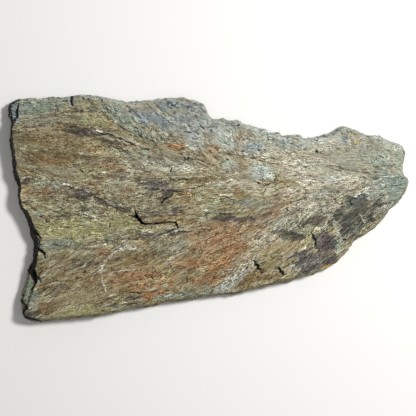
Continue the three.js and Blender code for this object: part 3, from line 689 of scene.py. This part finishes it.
        (-140, 194, 34, 9, -14, 0.6), (140, 132, 24, 6, -4, 0.5), (272, 136, 11, 9, 0, 1.0),
        (52, 165, 20, 8, -6, 0.5), (-16, -177, 16, 5, 5, 0.7), (385, 112, 10, 12, 0, 0.4),
        (66, 12, 30, 6, 0, 0.4), (-372, 204, 22, 12, 0, 0.5), (-30, 146, 26, 12, -6, 0.75),
        (166, 131, 38, 9, -2, 0.6), (-78, 140, 22, 8, -8, 0.4), (-150, 190, 40, 14, -18, 0.7),
        (-40, 175, 50, 22, -14, 0.7), (-20, 150, 40, 40, -20, 0.4), (50, 128, 26, 12, -10, 0.4),
        (22, -160, 22, 10, 10, 0.6),
    ],
    "teal": [
        (372, 50, 34, 26, 0, 1.0), (336, 30, 22, 12, 0, 0.6), (382, 98, 13, 24, 0, 0.65),
        (358, 44, 28, 9, 8, 0.8), (-162, -73, 9, 7, 0, 0.6), (330, 90, 22, 10, 0, 0.3),
        (350, 80, 30, 34, -10, 0.4), (352, 60, 36, 44, -10, 0.45), (376, 24, 22, 24, 0, 0.7),
        (346, 4, 22, 14, 40, 0.4),
    ],
    "char": [
        (294, 6, 30, 20, 20, 1.0), (286, -34, 24, 24, -20, 1.0), (318, -18, 26, 12, 38, 0.6),
        (262, -14, 14, 18, 0, 0.8), (-136, -16, 16, 12, 0, 0.45), (330, 66, 20, 14, 0, 0.35),
        (356, 12, 20, 7, 42, 0.5), (369, 90, 16, 7, -15, 0.35), (-95, -10, 24, 9, 0, 0.5),
        (80, 14, 30, 5, 0, 0.4), (-345, -75, 10, 20, 0, 0.6), (340, 28, 16, 3, 0, 0.6),
        (312, -46, 24, 12, 38, 0.6), (340, 10, 24, 14, 45, 0.55), (250, -32, 13, 14, 0, 0.6),
    ],
    "drab": [
        (-245, 153, 44, 9, -5, 0.95), (-192, 127, 38, 10, -24, 0.7), (-250, 26, 27, 12, -10, 0.7),
        (-205, 10, 30, 8, -16, 0.75), (-172, 0, 24, 7, -12, 0.6), (-152, -58, 30, 5, 3, 0.5),
        (-245, -110, 34, 10, 5, 0.6), (160, -54, 30, 12, -12, 1.0), (216, -26, 26, 11, 0, 1.0),
        (50, -21, 54, 7, -2, 0.7), (-95, 14, 40, 8, -4, 0.5), (-345, 168, 34, 5, 0, 0.45),
        (-70, 8, 30, 10, 10, 0.5), (-330, 140, 40, 7, 0, 0.4), (-350, -215, 16, 14, 0, 0.8),
        (-60, -120, 30, 5, 6, 0.4), (170, -128, 30, 6, 16, 0.5), (-140, -186, 30, 5, 8, 0.5),
        (-330, 166, 36, 8, 0, 0.45), (-238, -4, 26, 10, -12, 0.6), (-70, -104, 34, 7, 8, 0.5),
        (-5, 0, 26, 7, 4, 0.5),
    ],
    "plum": [
        (-92, 34, 40, 12, 10, 0.6), (-62, -4, 30, 14, 20, 0.5), (-72, -46, 26, 5, 14, 0.8),
        (-118, -54, 26, 5, 0, 0.75), (-366, 55, 22, 4, 0, 0.75), (230, -68, 20, 20, 30, 1.0),
        (206, -106, 38, 16, 26, 1.0), (240, -106, 24, 10, 30, 0.8), (180, -92, 28, 8, 22, 0.85),
        (-246, 36, 12, 6, -10, 0.75), (-209, 148, 14, 5, -10, 0.7), (-257, 152, 24, 5, -5, 0.6),
        (36, -22, 30, 5, 0, 0.7), (110, -14, 36, 9, 8, 0.5), (270, -40, 10, 20, -20, 0.6),
        (-150, -178, 30, 7, 10, 0.5), (-112, 46, 40, 14, -6, 0.75), (211, -28, 14, 7, 0, 0.5),
        (175, -55, 24, 7, 0, 0.5), (-297, -163, 24, 6, 5, 0.6), (-235, -113, 14, 5, 0, 0.6),
        (297, 20, 12, 4, 0, 0.7), (334, 62, 18, 12, -20, 0.35), (-215, 22, 30, 5, -16, 0.5),
        (10, 14, 34, 4, 4, 0.5), (-180, -100, 30, 4, 0, 0.4), (290, -60, 16, 10, 40, 0.5),
        (-245, 197, 36, 7, -8, 0.5), (-362, 12, 22, 8, 8, 0.6), (-100, -65, 26, 7, 6, 0.4),
        (-175, -192, 30, 6, 8, 0.7), (-348, -212, 22, 9, 0, 0.5),
    ],
    "lichen": [
        (288, 143, 5, 6, 0, 0.35), (299, 132, 7, 3, 0, 0.55), (236, -117, 8, 3.4, 20, 1.35),
    ],
}
print("patches:", sum(len(rows) for rows in PATCHES.values()), "in", len(PATCHES), "kinds")

# %% Paler, darker, calmer and rougher places
WORN = [  # where feet and rain keep the face pale
    (120, 108, 66, 26, -8, 0.7), (72, 82, 26, 16, 0, 0.6), (150, 52, 26, 12, 0, 0.6),
    (60, 96, 50, 22, -10, 0.4), (150, 30, 60, 26, 0, 0.4), (200, -30, 70, 30, 20, 0.5),
    (-90, 132, 40, 20, -8, 0.3), (60, 20, 60, 30, 8, 0.4), (110, -65, 50, 20, 40, 0.6),
    (365, 96, 40, 26, 0, 0.6), (-140, 85, 50, 14, 0, 0.5), (100, -30, 40, 40, 30, 0.4),
    (84, -140, 30, 12, 24, 0.5), (-60, -68, 34, 18, 12, 0.5), (180, 128, 40, 12, 0, 0.5),
    (262, -74, 20, 18, 0, 0.6), (136, 62, 24, 26, 0, 0.6), (-60, 122, 26, 14, 0, 0.7),
    (-284, -60, 40, 14, 0, 0.4),
]
GRIMY = [  # where soil lies and keeps it dark
    (-385, 130, 26, 60, 0, 0.9), (-330, 176, 60, 14, 0, 0.8), (-330, 110, 60, 14, 0, 0.4),
    (-350, 20, 40, 14, 0, 0.6), (-330, -130, 30, 40, 10, 0.5), (-260, -60, 30, 8, 0, 0.3),
    (-110, -90, 70, 18, 6, 0.8), (-25, -145, 40, 26, 10, 0.9), (-200, 6, 90, 24, -8, 1.0),
    (-260, -125, 110, 34, 8, 0.5), (-20, -15, 30, 36, 0, 0.6), (-355, 15, 26, 16, 0, 0.6),
    (-180, -78, 110, 20, 6, 0.5), (-190, -185, 40, 12, 8, 0.4), (260, -40, 26, 22, 0, 0.4),
    (20, 170, 20, 14, 0, 0.4), (-225, 160, 40, 30, 0, 0.3), (-385, 170, 40, 40, 0, 0.6),
    (-20, 140, 20, 26, 0, 0.4), (-100, 100, 50, 10, 0, 0.5), (230, 106, 50, 20, -6, 0.4),
    (190, 84, 50, 14, 0, 0.7), (116, 68, 24, 12, 0, 0.5), (380, 34, 30, 46, 0, 0.75),
    (350, 56, 30, 22, 0, 0.8), (350, 76, 26, 12, 0, 0.4), (-232, 12, 34, 26, 0, 0.5),
    (-365, 14, 26, 20, 0, 0.4), (-155, -60, 32, 16, 0, 0.6), (-205, 180, 40, 20, -20, 0.4),
    (-112, 176, 30, 16, -20, 0.4), (344, 8, 26, 20, 40, 0.7), (334, -18, 30, 14, 45, 0.8),
    (338, 66, 24, 16, 0, 0.6), (-356, -182, 16, 20, 10, 0.6),
]
CALM = [  # where the brightness of the grain changes little
    (250, 105, 130, 40, -4, 1.0), (-350, 112, 60, 34, 0, 0.9), (260, 60, 90, 30, 0, 0.5),
    (-300, -110, 60, 40, 0, 0.5), (-260, -195, 110, 30, 4, 0.6), (90, -20, 50, 30, 20, 0.5),
    (-290, 160, 70, 30, 0, 0.5), (-70, 184, 110, 34, -12, 0.7), (30, 142, 20, 22, 0, 0.5),
]
ROUGH = [  # where it changes most
    (300, -10, 60, 46, 20, 1.0), (-240, 15, 130, 32, -10, 1.0), (-80, -42, 100, 20, 4, 0.9),
    (230, -60, 60, 40, 30, 0.7), (50, -145, 50, 12, 50, 0.8), (-40, 40, 90, 24, 4, 0.4),
    (30, 140, 40, 40, -30, 0.5),
]
print("paler, darker, calmer and rougher places:", len(WORN) + len(GRIMY) + len(CALM) + len(ROUGH))


# %% From patches to a mask
def patch_mask(x, y, patches, seed):
    """The strongest of the patches at each point, with wandering edges."""
    bent_x = x + 11 * noise(seed, x / 30, y / 24) + 4 * noise(seed + 1, x / 10, y / 8)
    bent_y = y + 6 * noise(seed + 2, x / 24, y / 14) + 2.4 * noise(seed + 3, x / 9, y / 6)
    mask = np.zeros(len(x))
    for patch_x, patch_y, half_length, half_width, turn, strength in patches:
        cosine, sine = math.cos(math.radians(turn)), math.sin(math.radians(turn))
        dx, dy = bent_x - patch_x, bent_y - patch_y
        lengthwise = (dx * cosine + dy * sine) / half_length
        widthwise = (dy * cosine - dx * sine) / half_width
        reach = np.hypot(lengthwise, widthwise)
        mask = np.maximum(mask, strength * (1 - smooth_step(0.35, 1.75, reach)))
    return mask


# %% [markdown]
# ## Dark cracks, painted shade and paler edges
# Soil and painted shade turn the inside of each crack nearly black, and painted shade turns the hollow
# west edge nearly black too. The cracks' own runs say where this is, and a painted shadow lies at the foot
# of every ledge. The west edge is found by the way that its points face. The other edges broke later, so
# they are fresher and paler, and painted light makes the north-facing ones palest. The bed has lain on
# soil, so it is duller than the face and has none of its stains.

# %% Write the patches and the soil
def write_mask(mesh, name, values):
    """Stores one value for each point, for the material to read by name."""
    layer = mesh.attributes.new(name, "FLOAT", "POINT")
    layer.data.foreach_set("value", np.clip(values, 0, 1).astype(np.float32))


def write_patches(mesh, x, y, on_top):
    """The stains of the face, one attribute for each kind. Each kind uses up four seeds."""
    for seed, (name, patches) in enumerate(PATCHES.items()):
        write_mask(mesh, name, on_top * patch_mask(x, y, patches, 60 + 5 * seed))


def write_soil_and_shade(mesh, x, y, z, up, on_top):
    """Soil and painted shade in the cracks, painted shade in the hollows of the west rim, at the feet of
    the ledges, under the lips of the flakes and in the hollows of the rubble, and a painted highlight on
    the ledges' lips. Hairlines and small pits are darkened too.

    A crack that opens in the broken edge is painted less dark towards the bed.
    """
    ragged_x = x + 2.2 * noise(91, x / 8, y / 8) + 1.4 * noise(93, x / 3.2, y / 3.2)
    ragged_y = y + 1.0 * noise(92, x / 9, y / 9) + 0.8 * noise(94, x / 3.2, y / 3.2)
    # soil and painted shade in the cracks, and painted shade in the hollows of the west rim
    cracked = ribbon_mask(ragged_x, ragged_y, CRACKS, 0.3) * smooth_step(6, 14, z)
    rim_shade = ribbon_mask(ragged_x, ragged_y, PAINTED_RIM_SHADE, 0.3) * smooth_step(1, 5, z)
    cracked = np.maximum(cracked, rim_shade) * smooth_step(-0.6, -0.3, up)
    thin_marks = np.maximum(0.9 * line_mask(x, y, HAIRLINES, *HAIRLINE_LOOK), 0.85 * fleck_mask(x, y))
    thin_marks *= smooth_step(0.4, 0.8, up)
    write_mask(mesh, "crack_soil_and_shade", np.maximum(cracked, thin_marks))
    foot, lip = ledge_marks(x, y)
    under_flake = 0.5 * flakes(x, y, lean_at(x, y))[1]
    bumps, rubbly = rubble(x, y)
    hollow = smooth_step(0.15, 0.6, -bumps) * smooth_step(0.97, 0.8, up) * rubbly
    # painted shade under the flakes' lips, at the ledges' feet and in the rubble's hollows
    write_mask(mesh, "painted_ledge_shade", np.maximum.reduce([under_flake, foot, hollow]) * on_top)
    # painted highlight on the ledges' lips
    write_mask(mesh, "painted_lip_highlight", lip * on_top)


# %% Write the edges, the veins and the grain
def write_edges(mesh, x, y, z, facing):
    """Painted shade on the west-facing edge, and the paler break of the other edges, where painted light
    makes the north-facing ones palest.
    """
    up = facing[:, 2]
    off_bed = smooth_step(-0.45, -0.05, up) * smooth_step(-1, 5, z)
    # painted shade: the west-facing edge is painted nearly black, more in some stretches than others
    west = smooth_step(-0.05, 0.35, -facing[:, 0]) * smooth_step(-325, -345, x)
    bitten = up + 0.22 * noise(95, x / 7, y / 5) + 0.12 * noise(96, x / 3, y / 3)
    shade_depth = 0.3 + 0.7 * smooth_step(-135, -115, y) * (1 - 0.35 * smooth_step(60, 110, y))
    write_mask(mesh, "painted_west_shade", off_bed * west * shade_depth * (1 - smooth_step(0.7, 0.95, bitten)))
    # the fresh break's paler colour on the steep edges, with painted light making the north-facing ones
    # palest
    steep = smooth_step(0.93, 0.6, up) * off_bed
    north = smooth_step(-0.3, 0.5, facing[:, 1]) * smooth_step(-20, 60, y)
    write_mask(mesh, "fresh_break_and_painted_light", steep * (0.25 + 0.75 * north) * (1 - west))


def write_veins(mesh, x, y, up, on_top):
    """Quartz, in thin veins and in one broad band that is densest near the south edge."""
    write_mask(mesh, "quartz", line_mask(x, y, VEINS, *VEIN_LOOK) * smooth_step(0.3, 0.7, up))
    banded = ribbon_mask(x + 3 * noise(97, x / 14, y / 14), y, QUARTZ_BAND, 0.7)
    banded *= 0.5 + 0.25 * smooth_step(-90, -130, y) + 0.2 * noise(98, x / 9, y / 9)
    write_mask(mesh, "quartz_band", banded * on_top)


def write_grain(mesh, x, y, up):
    """Where the grain is pale, dark, calm or rough, and which way it runs."""
    below = smooth_step(-0.3, -0.8, up)
    write_mask(mesh, "worn", patch_mask(x, y, WORN, 180))
    write_mask(mesh, "grimy", patch_mask(x, y, GRIMY, 185))
    write_mask(mesh, "bed_soil", below * (0.5 + 0.4 * noise(90, x / 90, y / 60)))
    write_mask(mesh, "calm", np.maximum(patch_mask(x, y, CALM, 190), below))
    write_mask(mesh, "rough", patch_mask(x, y, ROUGH, 195))
    write_mask(mesh, "lean", (lean_at(x, y) - STRIKES[0]) / (STRIKES[-1] - STRIKES[0]))


# %% Write all of it on the stone
def stain(piece):
    """Writes the stains, the dirt, the veins and the grain on the stone."""
    mesh = piece.data
    x, y, z = places_of(mesh).T
    facing = neighbour_mean(mesh, normals_of(mesh), 2)
    up = facing[:, 2]
    on_top = smooth_step(-0.1, 0.5, up) * smooth_step(8, 20, z + 5 * noise(99, x / 20, y / 20))
    write_patches(mesh, x, y, on_top)
    write_soil_and_shade(mesh, x, y, z, up, on_top)
    write_edges(mesh, x, y, z, facing)
    write_veins(mesh, x, y, up, on_top)
    write_grain(mesh, x, y, up)


stain(stone)
print("attributes:", [layer.name for layer in stone.data.attributes if not layer.name.startswith(".")])

# %% [markdown]
# ## The finish: split schist
# Schist is mica, quartz and feldspar in sheets a fraction of a millimetre thick. Its split face is dull
# and rough. Two things give its look, and they are kept apart here. The colour changes slowly, in soft
# stains. The brightness changes fast, in long bands, splinters and scratches that follow the grain: from
# 50 mm long and 9 mm wide down to 11 mm by 2 mm, with a round grit of 2 mm between them. Their contrast
# changes from place to place, because some sheets are smooth mica and others are coarse.


# %% Helpers for colours and nodes
def linear(hex_colour):
    """An sRGB hex colour as the linear colour that a shader wants."""
    parts = [int(hex_colour[i : i + 2], 16) / 255 for i in (1, 3, 5)]
    return [c / 12.92 if c <= 0.04045 else ((c + 0.055) / 1.055) ** 2.4 for c in parts] + [1]


def add(tree, kind, inputs, **settings):
    """Adds a node, sets its properties, and fills its inputs with values or with other sockets."""
    node = tree.nodes.new(kind)
    for name, value in settings.items():
        setattr(node, name, value)
    for name, value in inputs.items():
        if isinstance(value, bpy.types.NodeSocket):
            tree.links.new(value, node.inputs[name])
        else:
            node.inputs[name].default_value = value
    return node


# %% Tints, in the order in which they are laid
BODY = {  # the stone's own minerals: tint, and how much each one covers the ones before
    "brown_mica": ("#7c6f4c", 1.0),
    "pale_feldspar": ("#9a9374", 1.0),
    "grey_green_chlorite": ("#7c836b", 0.85),
    "rusty_mica": ("#8a6d4c", 0.35),
    "violet_mica": ("#6c5f54", 0.5),
}
STAINS = {  # tint, how much it covers, the size of its blotches in millimetres, and how softly it ends
    "ochre": ("#8f7646", 0.5, 36, 0.5),
    "silver": ("#909186", 0.45, 36, 0.5),
    "olive": ("#928e61", 0.85, 24, 0.4),
    "umber": ("#6c5b39", 0.85, 24, 0.4),
    "clay": ("#8c6c4a", 0.8, 22, 0.4),
    "rust": ("#99683a", 0.8, 16, 0.35),
    "cream": ("#bfbaa6", 0.85, 18, 0.4),
    "chalk": ("#adb5aa", 0.8, 14, 0.35),
    "sage": ("#7d8877", 0.85, 22, 0.4),
    "slate": ("#7f8a8c", 0.85, 22, 0.4),
    "teal": ("#85968a", 0.8, 16, 0.35),
    "char": ("#3d413a", 0.87, 9, 0.2),
    "drab": ("#4a4336", 0.88, 13, 0.18),
    "plum": ("#463f3f", 0.88, 11, 0.18),
    "lichen": ("#cfa82c", 0.9, 6, 0.2),
    # the fresh break's colour, and painted light on the north-facing edges
    "fresh_break_and_painted_light": ("#a2aaa1", 0.75, 9, 0.3),
    # painted highlight on the ledges' lips
    "painted_lip_highlight": ("#c4bfa6", 0.65, 8, 0.3),
    "quartz": ("#c6c2ae", 0.62, 8, 0.3),
    "quartz_band": ("#9fa29a", 0.6, 6, 0.3),
}
DIRT_AND_SHADE = {  # the same, for soil and for painted shade on the stone
    "bed_soil": ("#5b4f3c", 0.7, 30, 0.35),
    # painted shade under the flakes' lips, at the ledges' feet and in the rubble's hollows
    "painted_ledge_shade": ("#393328", 0.8, 9, 0.25),
    # painted shade on the west-facing edge
    "painted_west_shade": ("#1a1814", 0.97, 9, 0.25),
    # soil and painted shade in the cracks and the hollows of the west rim
    "crack_soil_and_shade": ("#0f0d0b", 1.0, 6, 0.25),
}
PALE_THREAD = "#d2ceb8"
print("minerals, stains and kinds of dirt:", len(BODY), len(STAINS), len(DIRT_AND_SHADE))

# %% Sizes and contrast of the grain
GRAIN = {  # length and width in millimetres, the seed, and how many finer layers each one has
    "bands": (50, 9, 1, 4),
    "splinters": (28, 3.2, 2, 3),
    "scratches": (11, 1.8, 3, 2),
    "folia": (34, 8, 4, 3),
    "sheets": (46, 20, 6, 2),
}
GRIT_SIZE = 1.7  # mm
SWINGS = {  # the range of each noise that counts, and what it takes off and adds to the brightness
    "bands": (0.3, 0.7, -0.14, 0.14),
    "splinters": (0.34, 0.66, -0.3, 0.3),
    "scratches": (0.36, 0.64, -0.76, 0.82),
    "grit": (0.33, 0.67, -0.84, 0.9),
}
TINGES = {"Red": 0.94, "Green": 1.0, "Blue": 1.14}  # pale grains are a little bluer than dark ones
DARKEST = 0.16  # the least that is left of the colour between two grains
print("layers of streaks:", ", ".join(GRAIN))


# %% Noise, sums and blends
def spotted(tree, place, size, seed, detail):
    """Noise with round blotches. size is in millimetres."""
    moved = add(tree, "ShaderNodeMapping", {"Vector": place, "Location": (0.7 * seed, 0, 0)})
    inputs = {"Vector": moved.outputs["Vector"], "Scale": 1 / (size * MM), "Detail": detail}
    return add(tree, "ShaderNodeTexNoise", inputs).outputs["Fac"]


def ranged(tree, value, low, high, to_low=0, to_high=1):
    """Stretches a value from one range to another."""
    inputs = {"Value": value, "From Min": low, "From Max": high, "To Min": to_low, "To Max": to_high}
    return add(tree, "ShaderNodeMapRange", inputs).outputs["Result"]


def stored(tree, name):
    """The value that an attribute holds at a point."""
    return add(tree, "ShaderNodeAttribute", {}, attribute_name=name).outputs["Fac"]


def maths(tree, operation, a, b=0):
    """One sum with one or two values."""
    return add(tree, "ShaderNodeMath", {0: a, 1: b}, operation=operation).outputs["Value"]


def blend(tree, share, under, over, mode="MIX"):
    """Lays one colour over another."""
    mix = add(tree, "ShaderNodeMix", {}, data_type="RGBA", blend_type=mode)
    for socket, value in ((mix.inputs[0], share), (mix.inputs[6], under), (mix.inputs[7], over)):
        if isinstance(value, bpy.types.NodeSocket):
            tree.links.new(value, socket)
        else:
            socket.default_value = value
    return mix.outputs[2]


def contour(tree, value, half_width):
    """1 along the line where a noise crosses its middle value, which makes a long curling thread."""
    off = maths(tree, "ABSOLUTE", maths(tree, "SUBTRACT", value, 0.5))
    return ranged(tree, off, 0, half_width, 1, 0)


# %% Noise along the grain
def grain_shares(tree):
    """How much each of the five directions counts at a point."""
    lean = stored(tree, "lean")
    shares = {}
    for step, strike in enumerate(STRIKES):
        off = maths(tree, "ABSOLUTE", maths(tree, "SUBTRACT", lean, step / (len(STRIKES) - 1)))
        share = ranged(tree, off, 0, 1 / (len(STRIKES) - 1), 1, 0)
        shares[strike] = maths(tree, "POWER", share, 0.5)
    return shares


def streaked(tree, place, shares, length, width, seed, detail):
    """Noise drawn out along the grain, as the carving's is. length and width are in millimetres."""
    total = 0.5
    for strike, share in shares.items():
        inputs = {
            "Vector": place,
            "Location": (0.7 * seed, 0, 0),
            "Rotation": (0, 0, math.radians(strike)),
            "Scale": (length * MM, width * MM, 0.8 * width * MM),
        }
        turned = add(tree, "ShaderNodeMapping", inputs, vector_type="TEXTURE").outputs["Vector"]
        inputs = {"Vector": turned, "Scale": 1, "Detail": detail, "Roughness": 0.6}
        bump = maths(tree, "SUBTRACT", add(tree, "ShaderNodeTexNoise", inputs).outputs["Fac"], 0.5)
        total = maths(tree, "ADD", maths(tree, "MULTIPLY", bump, share), total)
    return total


# %% The body and the coats on it
def lay_coats(tree, place, colour, coats, first_seed, along, most):
    """Lays each coat where its attribute beats the noise. A most over 1 leaves no gaps in its middle."""
    for seed, (name, (tint, cover, size, soft)) in enumerate(coats.items(), first_seed):
        blotch = ranged(tree, spotted(tree, place, size, seed, 2), 0.28, 0.72)
        broken = add(tree, "ShaderNodeMix", {0: 0.6, 2: blotch, 3: along}).outputs[0]
        edge = maths(tree, "SUBTRACT", ranged(tree, stored(tree, name), 0, 1, -soft, most), broken)
        colour = blend(tree, ranged(tree, edge, -soft, soft, 0, cover), colour, linear(tint))
    return colour


def lay_body(tree, place, shares, bands):
    """The unstained stone: each mineral lies in streaks of its own over the ones before."""
    tints = [(linear(tint), cover) for tint, cover in BODY.values()]
    colour = blend(tree, ranged(tree, bands, 0.4, 0.6), tints[0][0], tints[1][0])
    for seed, (tint, cover) in enumerate(tints[2:], 60):
        lens = maths(tree, "MULTIPLY", streaked(tree, place, shares, 30, 8, seed, 2), 0.6)
        patch = maths(tree, "MULTIPLY", spotted(tree, place, 70, seed, 2), 0.4)
        share = ranged(tree, maths(tree, "ADD", lens, patch), 0.5, 0.6, 0, cover)
        colour = blend(tree, share, colour, tint)
    return colour


# %% The tone of the grain
def grain_tone(tree, grain):
    """What the colour is multiplied by: the grain's swing, and the worn and grimy places."""
    swing = 0
    for name, (low, high, darkest, palest) in SWINGS.items():
        swing = maths(tree, "ADD", swing, ranged(tree, grain[name], low, high, darkest, palest))
    parting = ranged(tree, grain["bands"], 0.52, 0.44, 0, 0.6)
    parting = maths(tree, "MULTIPLY", contour(tree, grain["splinters"], 0.02), parting)
    swing = maths(tree, "SUBTRACT", swing, parting)
    calm = ranged(tree, stored(tree, "calm"), 0, 1, 1, 0.66)
    rough = ranged(tree, stored(tree, "rough"), 0, 1, 0, 0.5)
    busy = ranged(tree, grain["sheets"], 0.38, 0.62, 0.5, 1.5)
    contrast = maths(tree, "MULTIPLY", maths(tree, "ADD", calm, rough), busy)
    swing = maths(tree, "MULTIPLY", swing, contrast)
    worn = ranged(tree, stored(tree, "worn"), 0, 1, 1, 1.26)
    grimy = ranged(tree, stored(tree, "grimy"), 0, 1, 0, 0.22)
    level = maths(tree, "SUBTRACT", worn, grimy)
    gains = {}
    for light, share in TINGES.items():
        tone = maths(tree, "ADD", 1, maths(tree, "MULTIPLY", swing, share))
        gains[light] = maths(tree, "MAXIMUM", maths(tree, "MULTIPLY", tone, level), DARKEST)
    return add(tree, "ShaderNodeCombineColor", gains).outputs["Color"]


# %% Put the material together
def split_schist():
    """The stone's material: its body, the stains and painted highlights, the tone of the grain, pale
    threads, and the dirt and painted shade.
    """
    material = bpy.data.materials.new("split_schist_weathered")
    material.use_nodes = True
    tree = material.node_tree
    shader = tree.nodes["Principled BSDF"]
    place = add(tree, "ShaderNodeTexCoord", {}).outputs["Object"]
    shares = grain_shares(tree)
    grain = {name: streaked(tree, place, shares, *sizes) for name, sizes in GRAIN.items()}
    grain["grit"] = spotted(tree, place, GRIT_SIZE, 5, 1)
    colour = lay_body(tree, place, shares, grain["bands"])
    along = ranged(tree, maths(tree, "ADD", grain["bands"], grain["splinters"]), 0.72, 1.28)
    colour = lay_coats(tree, place, colour, STAINS, 10, along, 1.1)
    colour = blend(tree, 1.0, colour, grain_tone(tree, grain), "MULTIPLY")
    thread = ranged(tree, grain["bands"], 0.46, 0.56, 0, 0.5)
    thread = maths(tree, "MULTIPLY", contour(tree, grain["folia"], 0.022), thread)
    colour = blend(tree, thread, colour, linear(PALE_THREAD))
    crumbly = ranged(tree, grain["scratches"], 0.3, 0.7)
    colour = lay_coats(tree, place, colour, DIRT_AND_SHADE, 40, crumbly, 1.25)
    tree.links.new(colour, shader.inputs["Base Color"])
    shader.inputs["Roughness"].default_value = 0.85
    inputs = {"Height": grain["scratches"], "Distance": 2.0 * MM, "Strength": 0.6}
    bump = add(tree, "ShaderNodeBump", inputs)
    tree.links.new(bump.outputs["Normal"], shader.inputs["Normal"])
    return material


schist = split_schist()
stone.data.materials.clear()
stone.data.materials.append(schist)
print("material:", schist.name, "with", len(schist.node_tree.nodes), "nodes")

# %% Let the stone stand for the solid
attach(stone, "root")
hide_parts("flagstone")

# %% [markdown]
# ## Stage, light and camera
# A pale floor, a soft key light from the north-east, and a camera high above the stone with a long lens,
# so that the outline shows without perspective.


# %% Floor
FLOOR_HALF_WIDTH = 8.0  # metres
FLOOR_DROP = 0.4 * MM  # how far the floor lies below the bed


def make_floor():
    """A wide matt floor that belongs to the stage."""
    shape = bmesh.new()
    bmesh.ops.create_grid(shape, x_segments=1, y_segments=1, size=FLOOR_HALF_WIDTH)
    bmesh.ops.translate(shape, verts=shape.verts, vec=(0, 0, -FLOOR_DROP))
    mesh = bpy.data.meshes.new("floor")
    shape.to_mesh(mesh)
    shape.free()
    floor = bpy.data.objects.new("floor", mesh)
    bpy.context.scene.collection.objects.link(floor)
    paint = bpy.data.materials.new("matt_white_paint")
    paint.use_nodes = True
    shader = paint.node_tree.nodes["Principled BSDF"]
    shader.inputs["Base Color"].default_value = linear("#f6f5f2")
    shader.inputs["Roughness"].default_value = 0.95
    mesh.materials.append(paint)


def aim(thing, target):
    """Turns a light or a camera to look at a point."""
    thing.rotation_euler = (target - thing.location).to_track_quat("-Z", "Y").to_euler()


make_floor()
print("stage ready")

# %% Light
KEY_PLACE = Vector((1.35, 0.65, 2.25))  # metres
KEY_WIDTH = 0.5  # metres
KEY_POWER = 64  # watts
SKY_STRENGTH = 0.3

key_data = bpy.data.lights.new("key", "AREA")
key_data.shape = "DISK"
key_data.size = KEY_WIDTH
key_data.energy = KEY_POWER
key = bpy.data.objects.new("key", key_data)
key.location = KEY_PLACE
bpy.context.scene.collection.objects.link(key)
aim(key, Vector((0, 0, 0)))

world = bpy.data.worlds.new("studio")
world.use_nodes = True
sky = world.node_tree.nodes["Background"]
sky.inputs["Color"].default_value = linear("#ffffff")
sky.inputs["Strength"].default_value = SKY_STRENGTH
bpy.context.scene.world = world
print("lights:", key.name, "and", world.name)

# %% Camera
FRAME_WIDTH = 832 * MM  # what the square image spans, at the height of the widest sheet
FRAME_CENTRE = Vector((-0.6 * MM, 0.8 * MM, 10 * MM))
CAMERA_HEIGHT = 6.0  # metres
lens = bpy.data.cameras.new("from_above")
lens.sensor_width = 36
lens.lens = lens.sensor_width * CAMERA_HEIGHT / FRAME_WIDTH
lens.clip_end = 50
camera = bpy.data.objects.new("from_above", lens)
camera.location = FRAME_CENTRE + Vector((0, 0, CAMERA_HEIGHT))
bpy.context.scene.collection.objects.link(camera)
bpy.context.scene.camera = camera
bpy.context.scene.view_settings.view_transform = "Standard"
print("camera lens, mm:", round(lens.lens))
